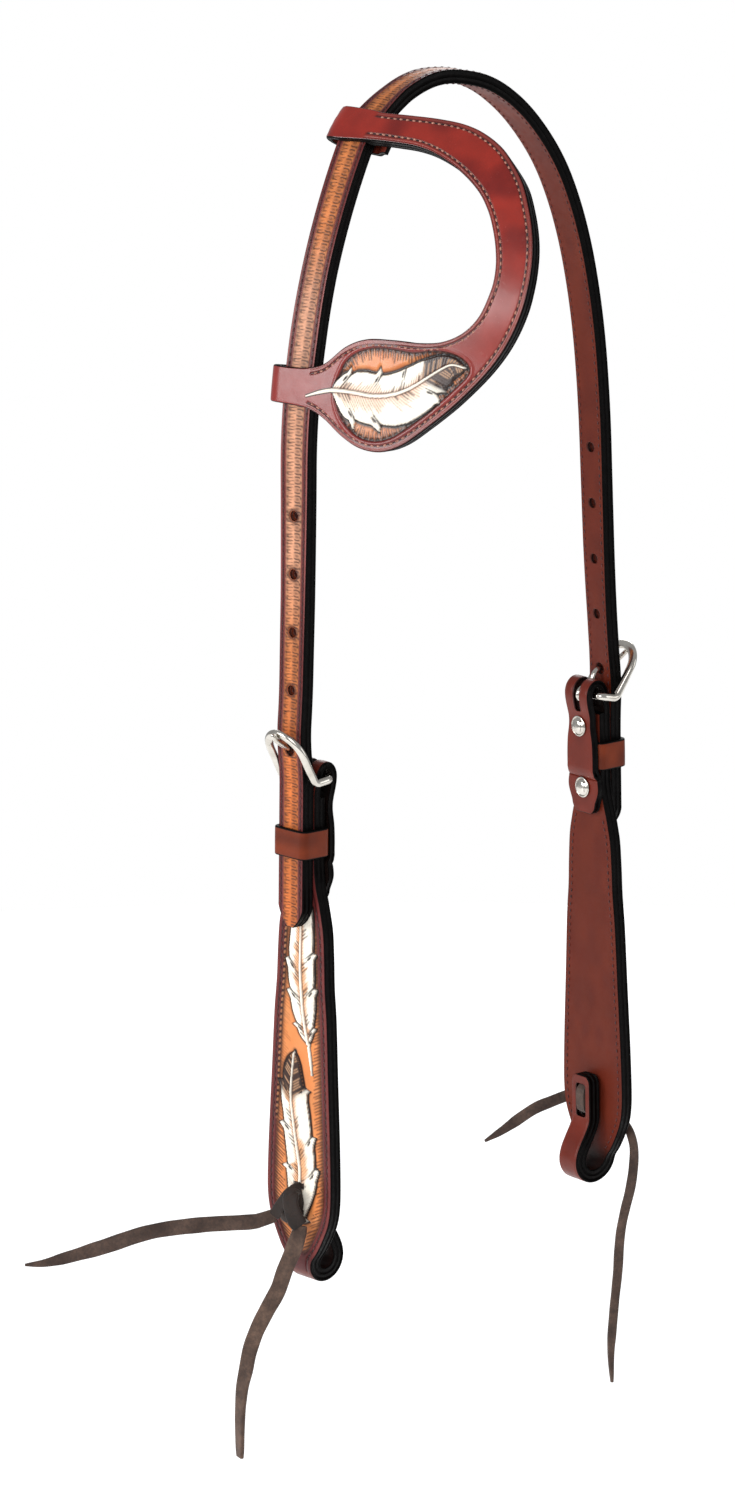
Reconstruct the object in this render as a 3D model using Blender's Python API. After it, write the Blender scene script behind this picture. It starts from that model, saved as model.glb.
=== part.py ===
"""Western one-ear headstall, modelled in metres with +Z up.

The world origin is the underside of the crown strap at the poll, its highest
point.  The leg that carries the ear piece runs down -X, the plain leg +X, and
the front of the headstall faces -Y.  Shapes are worked out in millimetres and
scaled once, when a mesh is made.
"""
import math

import bmesh
import bpy
from mathutils import Matrix, Vector

for old in list(bpy.data.objects):
    bpy.data.objects.remove(old, do_unlink=True)

MM = 0.001

# ---------------------------------------------------------------- dimensions
STRAP_WIDTH = 15.9          # crown strap, 5/8 inch
OUTER_T = 3.1               # tooled leather
LINING_T = 2.7              # smooth leather behind it
GAP = 0.3                   # between the glued layers
HOLE_PITCH = 25.4           # billet holes, one inch apart
HOLE_COUNT = 5
HOLE_R = 2.25               # free holes
TONGUE_HOLE_R = 2.65        # hole opened up by the tongue
BAR_R = 1.85                # buckle wire
BUCKLE_INNER = 17.0         # clear width between the buckle's arms
BAR_U = -7.2                # middle of the bar behind the cheek's front face
BUCKLE_CORNER = (8.8, -1.1) # arm corner, outward and up from the bar
BUCKLE_LEAN = 29.0          # degrees between the upper arms and the leg
BUCKLE_REACH = 25.0         # from the corner to the top of the bow
TONGUE_R = 1.2
EYE_R = 3.35                # tongue eye, centre of the wire
ROLL_U = 2.9                # half-axes of the glue line round the bar
ROLL_Z = 3.9
KEEPER_H = 12.7             # keeper, half an inch tall
KEEPER_AT = 28.0            # its middle, below the bar
KEEPER_WALL = 1.6
RIVETS_AT = (14.5, 43.0)    # below the bar
CAP_R = 4.75                # rivet caps, 3/8 inch across
POST_R = 1.5
FOLD_R = 7.5                # glue line round the bit fold
FOLD_AT = 216.9             # centre of the fold, below the bar
TAB_END = 177.0             # top of the tab behind the cheek, below the bar
SLITS_AT = (183.0, 195.0)   # slits for the lace
LACE_W = 5.2
LACE_T = 2.0
TAIL_R = 1.7
EAR_GLUE = 6.75             # glue plane of the ear piece above the strap
EAR_BEND = math.radians(10.0) / 110.0   # the ear piece curls in by ten degrees

# Slope of the crown strap in degrees below level, at distances from the poll
# measured along the strap.  The slope turns evenly between the knots.
NEAR_SLOPE = [(0, 0), (8, 12.6), (15.5, 22.2), (23.5, 29.1), (33, 35), (44, 46), (54, 64.6),
              (192, 90), (242, 89.3), (250, 88.5), (282, 88.5), (300, 85.5), (316, 96),
              (330, 89.2), (412, 89.2)]
FAR_SLOPE = [(0, 0), (8, 7), (16.5, 15), (24.5, 24.2), (32.5, 32.2), (43, 39), (53, 46), (69.5, 53.6),
             (87, 64), (107, 71), (128, 76.7), (168.5, 83.5), (209.5, 87.2), (249.5, 87),
             (289.5, 85), (309.5, 84.5), (326.5, 92), (342.5, 88.5), (424, 88.5)]
# Twist of the strap about its own length, in degrees.
NEAR_TWIST = [(0, -1.5), (22, -1.5), (38, 7), (54, 8), (106, 7), (136, 10.5), (194, 8.6), (242, 4),
              (292, 1.5), (332, 2.5), (412, 2.5)]
FAR_TWIST = [(0, -1.5), (12, 1), (40, -1), (61, -0.5), (102, 1.4), (153, 2.1), (204, 3), (254, 5),
             (289, 8), (304, 7.6), (318, 4), (344, 2.5), (424, 2.5)]
# The near strap is one even arc between these stations, which the ear piece slides along.
EAR_ARC = (54.0, 64.6, 192.0, 90.0)
# The ear piece's own slope above that arc.
EAR_SLOPE = [(28, 45), (42, 47), (54, 64.6)]
NEAR_TONGUE_HOLE = 312.0    # distance along the strap
FAR_TONGUE_HOLE = 311.5
NEAR_TIP = 392.0
FAR_TIP = 385.0
NEAR_BAR = 21.3             # the bar lies this far above strap station 347
FAR_BAR = 25.0              # and this far above station 346.5 on the far leg
FAR_BUCKLE_SAG = 5.3        # the far buckle leans out further, in degrees

# Half-widths of the cheek, at distances below the bar.
CHEEK_HALF = [(0, 8.1), (34, 8.2), (41, 8.4), (48, 9.6), (54.5, 11.5), (61, 13.2), (68, 14.6),
              (80, 15.4), (92, 15.9), (107, 17.3), (134, 18.7), (161, 20.2), (180, 20.9),
              (190, 20.7), (197.5, 19.3), (204.5, 16.2), (211.5, 12.2), (217.5, 8.6)]
# Half-widths of the turned-back end, the chape, at distances below the bar.
CHAPE_HALF = [(55, 6.6), (51, 9.4), (43, 10.7), (35, 9.3), (28, 9.2), (21, 8.8), (14.5, 7.7),
              (8, 7.9), (0, 8.0)]

# Outline of the ear piece: distance along the strap, distance ahead of its middle.
EAR_OUTER_EDGE = [(39, -49), (39, -30), (38.8, -12), (38.3, -5), (37.6, 4), (37.4, 12.7),
                  (35.4, 26.5), (33.5, 40.4), (32.6, 54), (34, 66), (38, 78), (44.5, 88),
                  (52.1, 95.8), (61.5, 102.2), (70.2, 107.2), (78.8, 110.8), (87.6, 113),
                  (96.5, 114), (105.6, 113.6), (114.8, 110.8), (124.4, 106), (134.4, 99.4),
                  (144.4, 91.7), (154.5, 82.6), (164.8, 71), (172.6, 60.5), (176.6, 50),
                  (176.4, 39), (172.6, 29), (166.6, 19), (163.6, 11), (162.8, 2), (162.7, -12),
                  (162.7, -49)]
EAR_INNER_EDGE = [(147.6, -49), (147.6, -12), (147.2, 0), (146.2, 8), (143.2, 16.5), (135.2, 26),
                  (130.6, 36.6), (129, 50.7), (128.3, 64), (126, 75.5), (120.5, 85.5),
                  (112, 92.8), (101, 96.3), (92, 96), (83.6, 93.4), (75.5, 89.3), (67.6, 83.7),
                  (60.2, 75.5), (53.6, 63.1), (49.4, 49), (48.2, 37), (49, 24), (50.2, 10),
                  (51.2, 0), (51.8, -8), (52, -30), (52, -49)]

# Routes of the loose lace ends: outward, forward, up, from the leg's own origin
# on the cheek's front face, level with the buckle bar.
NEAR_TAIL_A = [(8.6, -6.2, -196.6), (12.5, -9.6, -198.4), (16.5, -13.3, -199.7),
               (32.7, -28.1, -201.3), (48.8, -43, -204.8), (64.9, -57.8, -212.3),
               (81, -72.7, -219), (89.1, -80.1, -220.5)]
NEAR_TAIL_B = [(4.3, 5.9, -199.4), (4.6, 5.5, -203), (6.2, 3.7, -210.6), (8.7, 1.1, -219.8),
               (10.9, -0.9, -229), (14.3, -4.2, -238.3), (17.4, -7.2, -247.5),
               (19.6, -9.3, -256.8), (20.8, -10.5, -266), (22, -11.7, -275.3),
               (22.5, -12.3, -289.2), (22.3, -12.4, -306.4)]
FAR_TAIL_C = [(6.4, -6.2, -191.6), (6.2, -10, -192.4), (5.2, -16, -193.4), (3.8, -21.2, -194.4),
              (0.6, -25.8, -195.8), (-6.4, -30.6, -198.8), (-13.1, -35.6, -202.5),
              (-23.9, -43.7, -211.8), (-30.6, -48.7, -216.9)]
FAR_TAIL_D = [(5.6, 5.0, -199.6), (5.0, 8.6, -201.6), (4.7, 11.6, -203.4), (4.9, 14, -207.2),
              (5.5, 15, -213.5), (5, 14.8, -223), (3.7, 14, -232.4), (1.7, 12.7, -241.9),
              (0.1, 11.6, -251.4), (-0.8, 11.1, -261), (-1.4, 10.9, -270.5),
              (-2.3, 10.4, -280.1), (-3.2, 9.9, -289.7), (-4.6, 9.2, -308.9),
              (-4.6, 9.6, -324.3)]

HALF = STRAP_WIDTH / 2
STACK = OUTER_T + LINING_T + GAP
OUT0, OUT1 = GAP / 2, GAP / 2 + OUTER_T        # tooled layer above the glue line
LIN0, LIN1 = -GAP / 2 - LINING_T, -GAP / 2     # lining below it

# ------------------------------------------------------------------ materials


def finish(name, colour, roughness, metallic=0.0):
    mat = bpy.data.materials.new(name)
    mat.use_nodes = True
    shader = mat.node_tree.nodes["Principled BSDF"]
    shader.inputs["Base Color"].default_value = (*colour, 1.0)
    shader.inputs["Roughness"].default_value = roughness
    shader.inputs["Metallic"].default_value = metallic
    mat.diffuse_color = (*colour, 1.0)
    return mat


LEATHER = (0.35, 0.06, 0.03)
TOOLED = (0.55, 0.24, 0.12)
LINING = (0.20, 0.04, 0.02)
NICKEL = (0.75, 0.74, 0.72)
SUEDE = (0.08, 0.05, 0.04)

# -------------------------------------------------------------------- helpers


def lerp_table(table, x):
    """Value of a table of (x, y) knots, straight between the knots."""
    if x <= table[0][0]:
        return table[0][1]
    for (xa, ya), (xb, yb) in zip(table, table[1:]):
        if x <= xb:
            return ya + (yb - ya) * (x - xa) / (xb - xa)
    return table[-1][1]


def smoothstep(t):
    t = min(1.0, max(0.0, t))
    return t * t * (3 - 2 * t)


def smooth_line(points, steps, closed=False):
    """Catmull-Rom curve through the points."""
    n = len(points)
    dim = len(points[0])
    out = []
    for i in range(n if closed else n - 1):
        if closed:
            p0, p1, p2, p3 = (points[(i + k - 1) % n] for k in range(4))
        else:
            p1, p2 = points[i], points[i + 1]
            p0 = points[i - 1] if i else tuple(2 * a - b for a, b in zip(p1, p2))
            p3 = points[i + 2] if i + 2 < n else tuple(2 * b - a for a, b in zip(p1, p2))
        for k in range(steps):
            t = k / steps
            out.append(tuple(0.5 * (2 * p1[j] + (p2[j] - p0[j]) * t
                                    + (2 * p0[j] - 5 * p1[j] + 4 * p2[j] - p3[j]) * t * t
                                    + (3 * p1[j] - p0[j] - 3 * p2[j] + p3[j]) * t ** 3)
                             for j in range(dim)))
    if not closed:
        out.append(tuple(points[-1]))
    return out


def circle(cx, cy, r, sides=10):
    return [(cx + r * math.cos(2 * math.pi * (k + 0.5) / sides),
             cy + r * math.sin(2 * math.pi * (k + 0.5) / sides)) for k in range(sides)]


def rounded_slot(cx, cy, length, width, corner, steps=3):
    """Rounded rectangle, its length along the first axis."""
    loop = []
    for sx, sy, a0 in ((1, 1, 0), (-1, 1, 90), (-1, -1, 180), (1, -1, 270)):
        for k in range(steps + 1):
            a = math.radians(a0 + 90 * k / steps)
            loop.append((cx + sx * (length / 2 - corner) + corner * math.cos(a),
                         cy + sy * (width / 2 - corner) + corner * math.sin(a)))
    return loop


def new_object(name, verts, faces, mat, origin=(0, 0, 0), parent=None, sharp=40):
    """Closed mesh from points in the parent's frame, with its own origin."""
    mesh = bpy.data.meshes.new(name)
    mesh.from_pydata([((x - origin[0]) * MM, (y - origin[1]) * MM, (z - origin[2]) * MM)
                      for x, y, z in verts], [], faces)
    bm = bmesh.new()
    bm.from_mesh(mesh)
    bmesh.ops.triangulate(bm, faces=[f for f in bm.faces if len(f.verts) > 3])
    bmesh.ops.recalc_face_normals(bm, faces=bm.faces[:])
    if bm.calc_volume(signed=True) < 0:
        bmesh.ops.reverse_faces(bm, faces=bm.faces[:])
    bm.to_mesh(mesh)
    bm.free()
    mesh.materials.append(mat)
    mesh.shade_smooth()
    mesh.set_sharp_from_angle(angle=math.radians(sharp))
    ob = bpy.data.objects.new(name, mesh)
    bpy.context.scene.collection.objects.link(ob)
    ob.parent = parent
    ob.location = Vector(origin) * MM
    return ob


def empty(name, location, rotation=None, parent=None):
    ob = bpy.data.objects.new(name, None)
    bpy.context.scene.collection.objects.link(ob)
    ob.empty_display_size = 0.01
    if rotation is not None:
        ob.matrix_world = Matrix.Translation(Vector(location) * MM) @ rotation.to_4x4()
    else:
        ob.location = Vector(location) * MM
    ob.parent = parent
    return ob


def cut_flat(outline, holes, cuts_x, cuts_y):
    """Flat pattern, filled and then cut along lines across it."""
    bm = bmesh.new()
    edges = []
    hole_x = []
    ring = set()
    for number, loop in enumerate([outline] + holes):
        verts = [bm.verts.new((x, y, 0)) for x, y in loop]
        edges += [bm.edges.new((a, b)) for a, b in zip(verts, verts[1:] + verts[:1])]
        if number:
            hole_x.append((min(p[0] for p in loop), max(p[0] for p in loop)))
            ring.update(verts)
    bmesh.ops.triangle_fill(bm, use_beauty=True, use_dissolve=False, edges=edges,
                            normal=(0, 0, 1))
    for axis, cuts in ((0, cuts_x), (1, cuts_y)):
        for c in cuts:
            co = [0.0, 0.0, 0.0]
            no = [0.0, 0.0, 0.0]
            co[axis], no[axis] = c, 1.0
            bmesh.ops.bisect_plane(bm, geom=bm.verts[:] + bm.edges[:] + bm.faces[:], dist=1e-4,
                                   plane_co=co, plane_no=no)

    def on_cut(edge):
        a, b = edge.verts[0].co, edge.verts[1].co
        return (any(abs(a.x - c) < 1e-3 and abs(b.x - c) < 1e-3 for c in cuts_x)
                or any(abs(a.y - c) < 1e-3 and abs(b.y - c) < 1e-3 for c in cuts_y))

    lines = sorted(cuts_x)

    def near_hole(edge):
        x = (edge.verts[0].co.x + edge.verts[1].co.x) / 2
        low = max([c for c in lines if c <= x], default=-1e9)
        high = min([c for c in lines if c > x], default=1e9)
        return any(a < high and b > low for a, b in hole_x)

    spare = [e for e in bm.edges if len(e.link_faces) == 2 and not on_cut(e)
             and not (near_hole(e) and any(v in ring for v in e.verts))]
    bmesh.ops.dissolve_edges(bm, edges=spare, use_verts=False, use_face_split=False)
    loose = [v for v in bm.verts if len(v.link_edges) == 2
             and all(len(e.link_faces) == 2 for e in v.link_edges)]
    bmesh.ops.dissolve_verts(bm, verts=loose)
    bmesh.ops.triangulate(bm, faces=[f for f in bm.faces if len(f.verts) > 3],
                          quad_method="BEAUTY", ngon_method="BEAUTY")
    for f in bm.faces:
        if f.normal.z < 0:
            f.normal_flip()
    bm.verts.index_update()
    points = [(v.co.x, v.co.y) for v in bm.verts]
    tris = [tuple(v.index for v in f.verts) for f in bm.faces]
    rim = []
    for e in bm.edges:
        if len(e.link_faces) == 1:
            face = [v.index for v in e.link_faces[0].verts]
            a, b = e.verts[0].index, e.verts[1].index
            if face[(face.index(a) + 1) % len(face)] != b:
                a, b = b, a
            rim.append((a, b))
    bm.free()
    return points, tris, rim


def sheet(name, pattern, place, low, high, mat, origin=(0, 0, 0), parent=None):
    """Leather layer: the pattern carried onto its path between two offsets."""
    points, tris, rim = pattern
    n = len(points)
    verts = [place(x, y, high) for x, y in points] + [place(x, y, low) for x, y in points]
    faces = list(tris) + [(a + n, c + n, b + n) for a, b, c in tris]
    faces += [(b, a, a + n, b + n) for a, b in rim]
    return new_object(name, verts, faces, mat, origin, parent)


def lathe(profile, place, sides=16):
    """Solid turned about an axis; the profile runs from axis to axis."""
    rings = []
    verts = []
    for r, h in profile:
        if r < 1e-6:
            rings.append([len(verts)] * sides)
            verts.append(place(0.0, 0.0, h))
        else:
            rings.append(list(range(len(verts), len(verts) + sides)))
            verts += [place(r * math.cos(2 * math.pi * k / sides),
                            r * math.sin(2 * math.pi * k / sides), h) for k in range(sides)]
    faces = []
    for a, b in zip(rings, rings[1:]):
        for k in range(sides):
            m = (k + 1) % sides
            loop = [a[k], a[m], b[m], b[k]]
            loop = [v for i, v in enumerate(loop) if v not in loop[:i]]
            if len(loop) > 2:
                faces.append(tuple(loop))
    return verts, faces


# ---------------------------------------------------------------- crown strap


class Spine:
    """Line in the XZ plane that falls away with a slope given at knots."""

    def __init__(self, knots):
        self.knots = [(a, math.radians(b)) for a, b in knots]
        self.points = [(0.0, 0.0)]
        for (a, ta), (b, tb) in zip(self.knots, self.knots[1:]):
            dx, dz = self.arc(b - a, ta, tb)
            self.points.append((self.points[-1][0] + dx, self.points[-1][1] - dz))

    @staticmethod
    def arc(length, ta, tb):
        if abs(tb - ta) < 1e-9:
            return length * math.cos(ta), length * math.sin(ta)
        k = (tb - ta) / length
        return (math.sin(tb) - math.sin(ta)) / k, (math.cos(ta) - math.cos(tb)) / k

    def at(self, s):
        for i, ((a, ta), (b, tb)) in enumerate(zip(self.knots, self.knots[1:])):
            if s <= b or i == len(self.knots) - 2:
                t = ta + (tb - ta) * (s - a) / (b - a)
                dx, dz = self.arc(s - a, ta, t) if s != a else (0.0, 0.0)
                return self.points[i][0] + dx, self.points[i][1] - dz, t


NEAR_SPINE, FAR_SPINE = Spine(NEAR_SLOPE), Spine(FAR_SLOPE)


def axes(side, slope, twist):
    out = Vector((side * math.sin(slope), 0.0, math.cos(slope)))
    ahead = Vector((0.0, -1.0, 0.0))
    along = Vector((side * math.cos(slope), 0.0, -math.sin(slope)))
    c, s = math.cos(math.radians(twist)), math.sin(math.radians(twist))
    return out * c + ahead * s, ahead * c - out * s, along


def strap_frame(s):
    """Underside point, outward, forward and downward axes at a signed station."""
    side, spine, twist = (-1, NEAR_SPINE, NEAR_TWIST) if s < 0 else (1, FAR_SPINE, FAR_TWIST)
    x, z, slope = spine.at(abs(s))
    out, ahead, along = axes(side, slope, lerp_table(twist, abs(s)))
    return Vector((side * x, 0.0, z)), out, ahead, along


def on_strap(s, v, u):
    point, out, ahead, _ = strap_frame(s)
    return point + out * u + ahead * v


def billet_tip(tip, direction):
    """Pointed end, from its shoulder to its tip and back."""
    shape = [(-9.5, 1.0), (-5.6, 0.80), (-2.4, 0.47), (-0.5, 0.16)]
    return [(direction * (tip + d), w * HALF) for d, w in shape]


def build_strap():
    near = billet_tip(NEAR_TIP, -1)
    far = billet_tip(FAR_TIP, 1)
    outline = [(s, -w) for s, w in near[::-1]] + [(s, -w) for s, w in far]
    outline += [(s, w) for s, w in far[::-1]] + [(s, w) for s, w in near]
    holes = []
    for side, used in ((-1, NEAR_TONGUE_HOLE), (1, FAR_TONGUE_HOLE)):
        for k in range(HOLE_COUNT):
            holes.append(circle(side * (used - k * HOLE_PITCH), 0.0,
                                HOLE_R if k else TONGUE_HOLE_R, 8))
    near_cuts = ([3] + list(range(10, 58, 6)) + list(range(74, 200, 20))
                 + [216, 242, 250, 282, 291, 300, 308, 316, 323, 330])
    far_cuts = ([3] + list(range(9, 54, 7)) + [60, 70, 80, 92, 105, 120, 136, 154, 174, 198, 225,
                258, 289, 300, 309, 316, 323, 330, 336, 342])
    pattern = cut_flat(outline, holes, [-c for c in near_cuts] + far_cuts, [])
    sheet("crown_outer", pattern, on_strap, LINING_T + GAP, STACK,
          finish("crown_outer", TOOLED, 0.45))
    sheet("crown_lining", pattern, on_strap, 0.0, LINING_T, finish("crown_lining", LINING, 0.5))


# ------------------------------------------------------------------ ear piece

def ear_axis():
    """Centre of the arc that the near strap follows under the ear piece."""
    a, ta, b, tb = EAR_ARC
    radius = (b - a) / math.radians(tb - ta)
    x, z, slope = NEAR_SPINE.at((a + b) / 2)
    return Vector((-x + radius * math.sin(slope), 0.0, z - radius * math.cos(slope)))


def ear_frame(s):
    if s >= EAR_ARC[0]:
        return strap_frame(-s)[:3]
    x, z, _ = NEAR_SPINE.at(EAR_ARC[0])
    here = EAR_ARC[0]
    while here > s + 1e-9:
        step = min(0.5, here - s)
        slope = math.radians(lerp_table(EAR_SLOPE, here - step / 2))
        x -= math.cos(slope) * step
        z += math.sin(slope) * step
        here -= step
    out, ahead, _ = axes(-1, math.radians(lerp_table(EAR_SLOPE, s)),
                         lerp_table(NEAR_TWIST, EAR_ARC[0]))
    return Vector((-x, 0.0, z)), out, ahead


LOOP_BACK = HALF + 0.15     # where the loop starts to turn round the strap's back edge
LOOP_R = 3.95
LOOP_LOW = EAR_GLUE - 2 * LOOP_R
LOOP_ARC = math.pi * LOOP_R


def ear_section(q, h):
    """Ear piece in cross-section: q along it, h off its glue line."""
    if q > 8:
        psi = EAR_BEND * (q - 8)
        return (EAR_GLUE - (1 - math.cos(psi)) / EAR_BEND + h * math.cos(psi),
                8 + math.sin(psi) / EAR_BEND + h * math.sin(psi))
    if q >= -LOOP_BACK:
        return EAR_GLUE + h, q
    a = -LOOP_BACK - q
    if a < LOOP_ARC:
        phi = a / LOOP_R
        return (LOOP_LOW + LOOP_R + (LOOP_R + h) * math.cos(phi),
                -LOOP_BACK - (LOOP_R + h) * math.sin(phi))
    v = -LOOP_BACK + a - LOOP_ARC
    return LOOP_LOW - h + (EAR_GLUE - LOOP_LOW - 3.3) * smoothstep((v - 8.6) / 8.0), v


def build_ear():
    pivot = ear_axis()
    carrier = empty("ear_slide_axis", pivot)

    def place(s, q, h):
        point, out, ahead = ear_frame(s)
        u, v = ear_section(q, h)
        return point + out * u + ahead * v - pivot

    outer_edge, inner_edge = EAR_OUTER_EDGE, EAR_INNER_EDGE
    s_cuts = [37, 41, 45, 49, 53, 62] + list(range(74, 178, 13))
    q_cuts = ([-LOOP_BACK - LOOP_ARC * k / 6 for k in range(7)]
              + [-LOOP_BACK - LOOP_ARC - LOOP_BACK - 8.6 - 2.6 * k for k in range(4)]
              + [8] + list(range(26, 108, 20)))
    pattern = cut_flat(outer_edge + inner_edge, [], s_cuts, q_cuts)
    sheet("ear_outer", pattern, place, OUT0, OUT1, finish("ear_outer", LEATHER, 0.35),
          parent=carrier)

    def ahead_of(line, q0):
        kept = []
        for a, b in zip(line, line[1:]):
            if (a[1] - q0) * (b[1] - q0) < 0:
                t = (q0 - a[1]) / (b[1] - a[1])
                kept.append((a[0] + t * (b[0] - a[0]), q0))
            if b[1] > q0:
                kept.append(b)
        return kept

    q0 = HALF + 0.8
    pattern = cut_flat(ahead_of(outer_edge, q0) + ahead_of(inner_edge, q0), [], s_cuts,
                       [c for c in q_cuts if c > q0])
    sheet("ear_lining", pattern, place, LIN0, LIN1, finish("ear_lining", LINING, 0.5),
          parent=carrier)


# ----------------------------------------------------------------- cheek path


class CheekPath:
    """Glue line of the cheek in the leg's own plane, outward u and up z.

    It starts at the chape's free end, climbs behind the leg, rolls over the
    buckle bar, runs down the front, folds at the bottom and climbs the tab.
    """

    def __init__(self):
        self.points = []
        self.marks = {}
        z = -55.0
        while z < -1e-9:
            self.add(self.chape_u(z), z)
            z += 0.5
        self.mark("roll")
        for k in range(0, 25):
            a = math.radians(180 - 180 * k / 24)
            self.add(BAR_U + ROLL_U * math.cos(a), ROLL_Z * math.sin(a))
        self.mark("front")
        z = -0.5
        while z > -FOLD_AT:
            self.add(BAR_U + ROLL_U + (-3.25 - BAR_U - ROLL_U) * smoothstep(-z / 8), z)
            z -= 0.5
        self.mark("fold")
        for k in range(0, 53):
            a = math.radians(-180 * k / 52)
            self.add(-3.25 - FOLD_R + FOLD_R * math.cos(a), -FOLD_AT + FOLD_R * math.sin(a))
        self.mark("tab")
        z = -FOLD_AT + 0.5
        while z < -TAB_END + 1e-9:
            self.add(self.tab_u(z), z)
            z += 0.5
        self.length = [0.0]
        for a, b in zip(self.points, self.points[1:]):
            self.length.append(self.length[-1] + math.dist(a, b))

    def add(self, u, z):
        self.points.append((u, z))

    def mark(self, name):
        self.marks[name] = len(self.points)

    @staticmethod
    def chape_u(z):
        return (-6.4 - 1.75 * smoothstep((z + 37.8) / 3.2)
                - (ROLL_U - BAR_U - 8.15) * smoothstep((z + 12) / 12))

    @staticmethod
    def tab_u(z):
        return -3.25 - 2 * FOLD_R + (2 * FOLD_R - 6.85) * smoothstep((z + FOLD_AT) / 20.0)

    def station(self, branch, below):
        """Length along the path at a height below the bar on one branch."""
        names = ["start", "roll", "front", "fold", "tab", "end"]
        first = dict(self.marks, start=0, end=len(self.points))
        lo, hi = first[branch], first[names[names.index(branch) + 1]]
        best = min(range(lo, hi), key=lambda i: abs(self.points[i][1] + below))
        return self.length[best]

    def span(self, branch):
        names = ["start", "roll", "front", "fold", "tab", "end"]
        first = dict(self.marks, start=0, end=len(self.points))
        return (self.length[first[branch]],
                self.length[first[names[names.index(branch) + 1]] - 1])

    def at(self, l, h):
        """Point at length l, offset h to the outside of the loop."""
        n = len(self.points)
        lo, hi = 0, n - 2
        while lo < hi:
            mid = (lo + hi + 1) // 2
            if self.length[mid] <= l:
                lo = mid
            else:
                hi = mid - 1
        step = self.length[lo + 1] - self.length[lo]
        t = (l - self.length[lo]) / step
        a, b = self.points[lo], self.points[lo + 1]

        def slope(i):
            p, q = self.points[max(0, i - 1)], self.points[min(n - 1, i + 1)]
            d = math.dist(p, q)
            return (q[0] - p[0]) / d, (q[1] - p[1]) / d

        ta, tb = slope(lo), slope(lo + 1)
        du, dz = ta[0] + t * (tb[0] - ta[0]), ta[1] + t * (tb[1] - ta[1])
        d = math.hypot(du, dz)
        u, z = a[0] + t * (b[0] - a[0]), a[1] + t * (b[1] - a[1])
        return u - h * dz / d, z + h * du / d


CHEEK = CheekPath()
CHAPE_TOP_FACE = CheekPath.chape_u(-14.5) - OUT1
CHAPE_LOW_FACE = CheekPath.chape_u(-43.0) - OUT1

# --------------------------------------------------------------------- buckle


def buckle_rings(sag):
    """Centre line of the buckle frame with its across and through axes.

    Coordinates are outward, forward, up from the middle of the bar.
    """
    half = (BUCKLE_INNER + 2 * BAR_R) / 2
    lean = math.radians(BUCKLE_LEAN)
    up = (math.sin(lean), math.cos(lean))
    bend, corner = 2.6, 3.0
    cu, cz = BUCKLE_CORNER
    start = math.atan2(cz, cu)
    side = []                       # profile of one arm: u, z, slope, forward, bow share
    for k in range(5):              # bend from the bar into the arm
        a = math.radians(90 * k / 4)
        side.append((bend * (1 - math.cos(a)), 0.0, start, half - bend + bend * math.sin(a), 0.0))
    turn = math.radians(90) - lean - start
    cut = corner * math.tan(turn / 2)
    reach = math.hypot(cu, cz)
    side = [(d * math.cos(start), d * math.sin(start), start, v, w) for d, _, _, v, w in side]
    first = reach - cut
    centre = (first * math.cos(start) - corner * math.sin(start),
              first * math.sin(start) + corner * math.cos(start))
    for k in range(5):              # arm corner
        a = start + turn * k / 4
        side.append((centre[0] + corner * math.sin(a), centre[1] - corner * math.cos(a), a, half,
                     0.0))
    straight = BUCKLE_REACH - half
    for k in range(1, 4):
        d = cut + (straight - cut) * k / 3
        side.append((cu + up[0] * d, cz + up[1] * d, math.pi / 2 - lean, half, k / 3))
    for k in range(1, 7):           # half of the bow
        a = math.radians(90 * k / 6)
        d = straight + half * math.sin(a)
        side.append((cu + up[0] * d, cz + up[1] * d, math.pi / 2 - lean, half * math.cos(a), 1.0))
    rings = [(0.0, -6.0, 0.0, start, 0.0), (0.0, 0.0, 0.0, start, 0.0), (0.0, 6.0, 0.0, start, 0.0)]
    rings += [(u, v, z, a, w) for u, z, a, v, w in side]
    rings += [(u, -v, z, a, w) for u, z, a, v, w in side[-2::-1]]
    out = []
    turn = math.radians(sag)
    for u, v, z, a, w in rings:
        # the whole frame swings outward about the bar
        out.append((u * math.cos(turn) + z * math.sin(turn), v,
                    z * math.cos(turn) - u * math.sin(turn), a - turn, w))
    return out


def build_buckle(name, leg, hand, sag):
    rings = buckle_rings(sag)
    n = len(rings)
    sides = 8
    verts = []
    for i, (u, v, z, slope, share) in enumerate(rings):
        a, b = rings[i - 1], rings[(i + 1) % n]
        along = Vector((b[0] - a[0], b[1] - a[1], b[2] - a[2])).normalized()
        through = Vector((-math.sin(slope), 0.0, math.cos(slope)))
        across = along.cross(through).normalized()
        through = across.cross(along)
        rt, ra = BAR_R - 0.25 * share, BAR_R + 0.2 * share
        for k in range(sides):
            t = 2 * math.pi * k / sides
            p = Vector((u, v, z)) + through * rt * math.cos(t) + across * ra * math.sin(t)
            verts.append((BAR_U + p.x, hand * p.y, p.z))
    faces = []
    for i in range(n):
        j = (i + 1) % n
        for k in range(sides):
            m = (k + 1) % sides
            faces.append((i * sides + k, i * sides + m, j * sides + m, j * sides + k))
    new_object(name, verts, faces, finish(name, NICKEL, 0.18, 1.0), (BAR_U, 0, 0), leg)


def bow_top(sag):
    u, _, z, slope, _ = buckle_rings(sag)[len(buckle_rings(sag)) // 2 + 1]
    return u, z, slope


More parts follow.
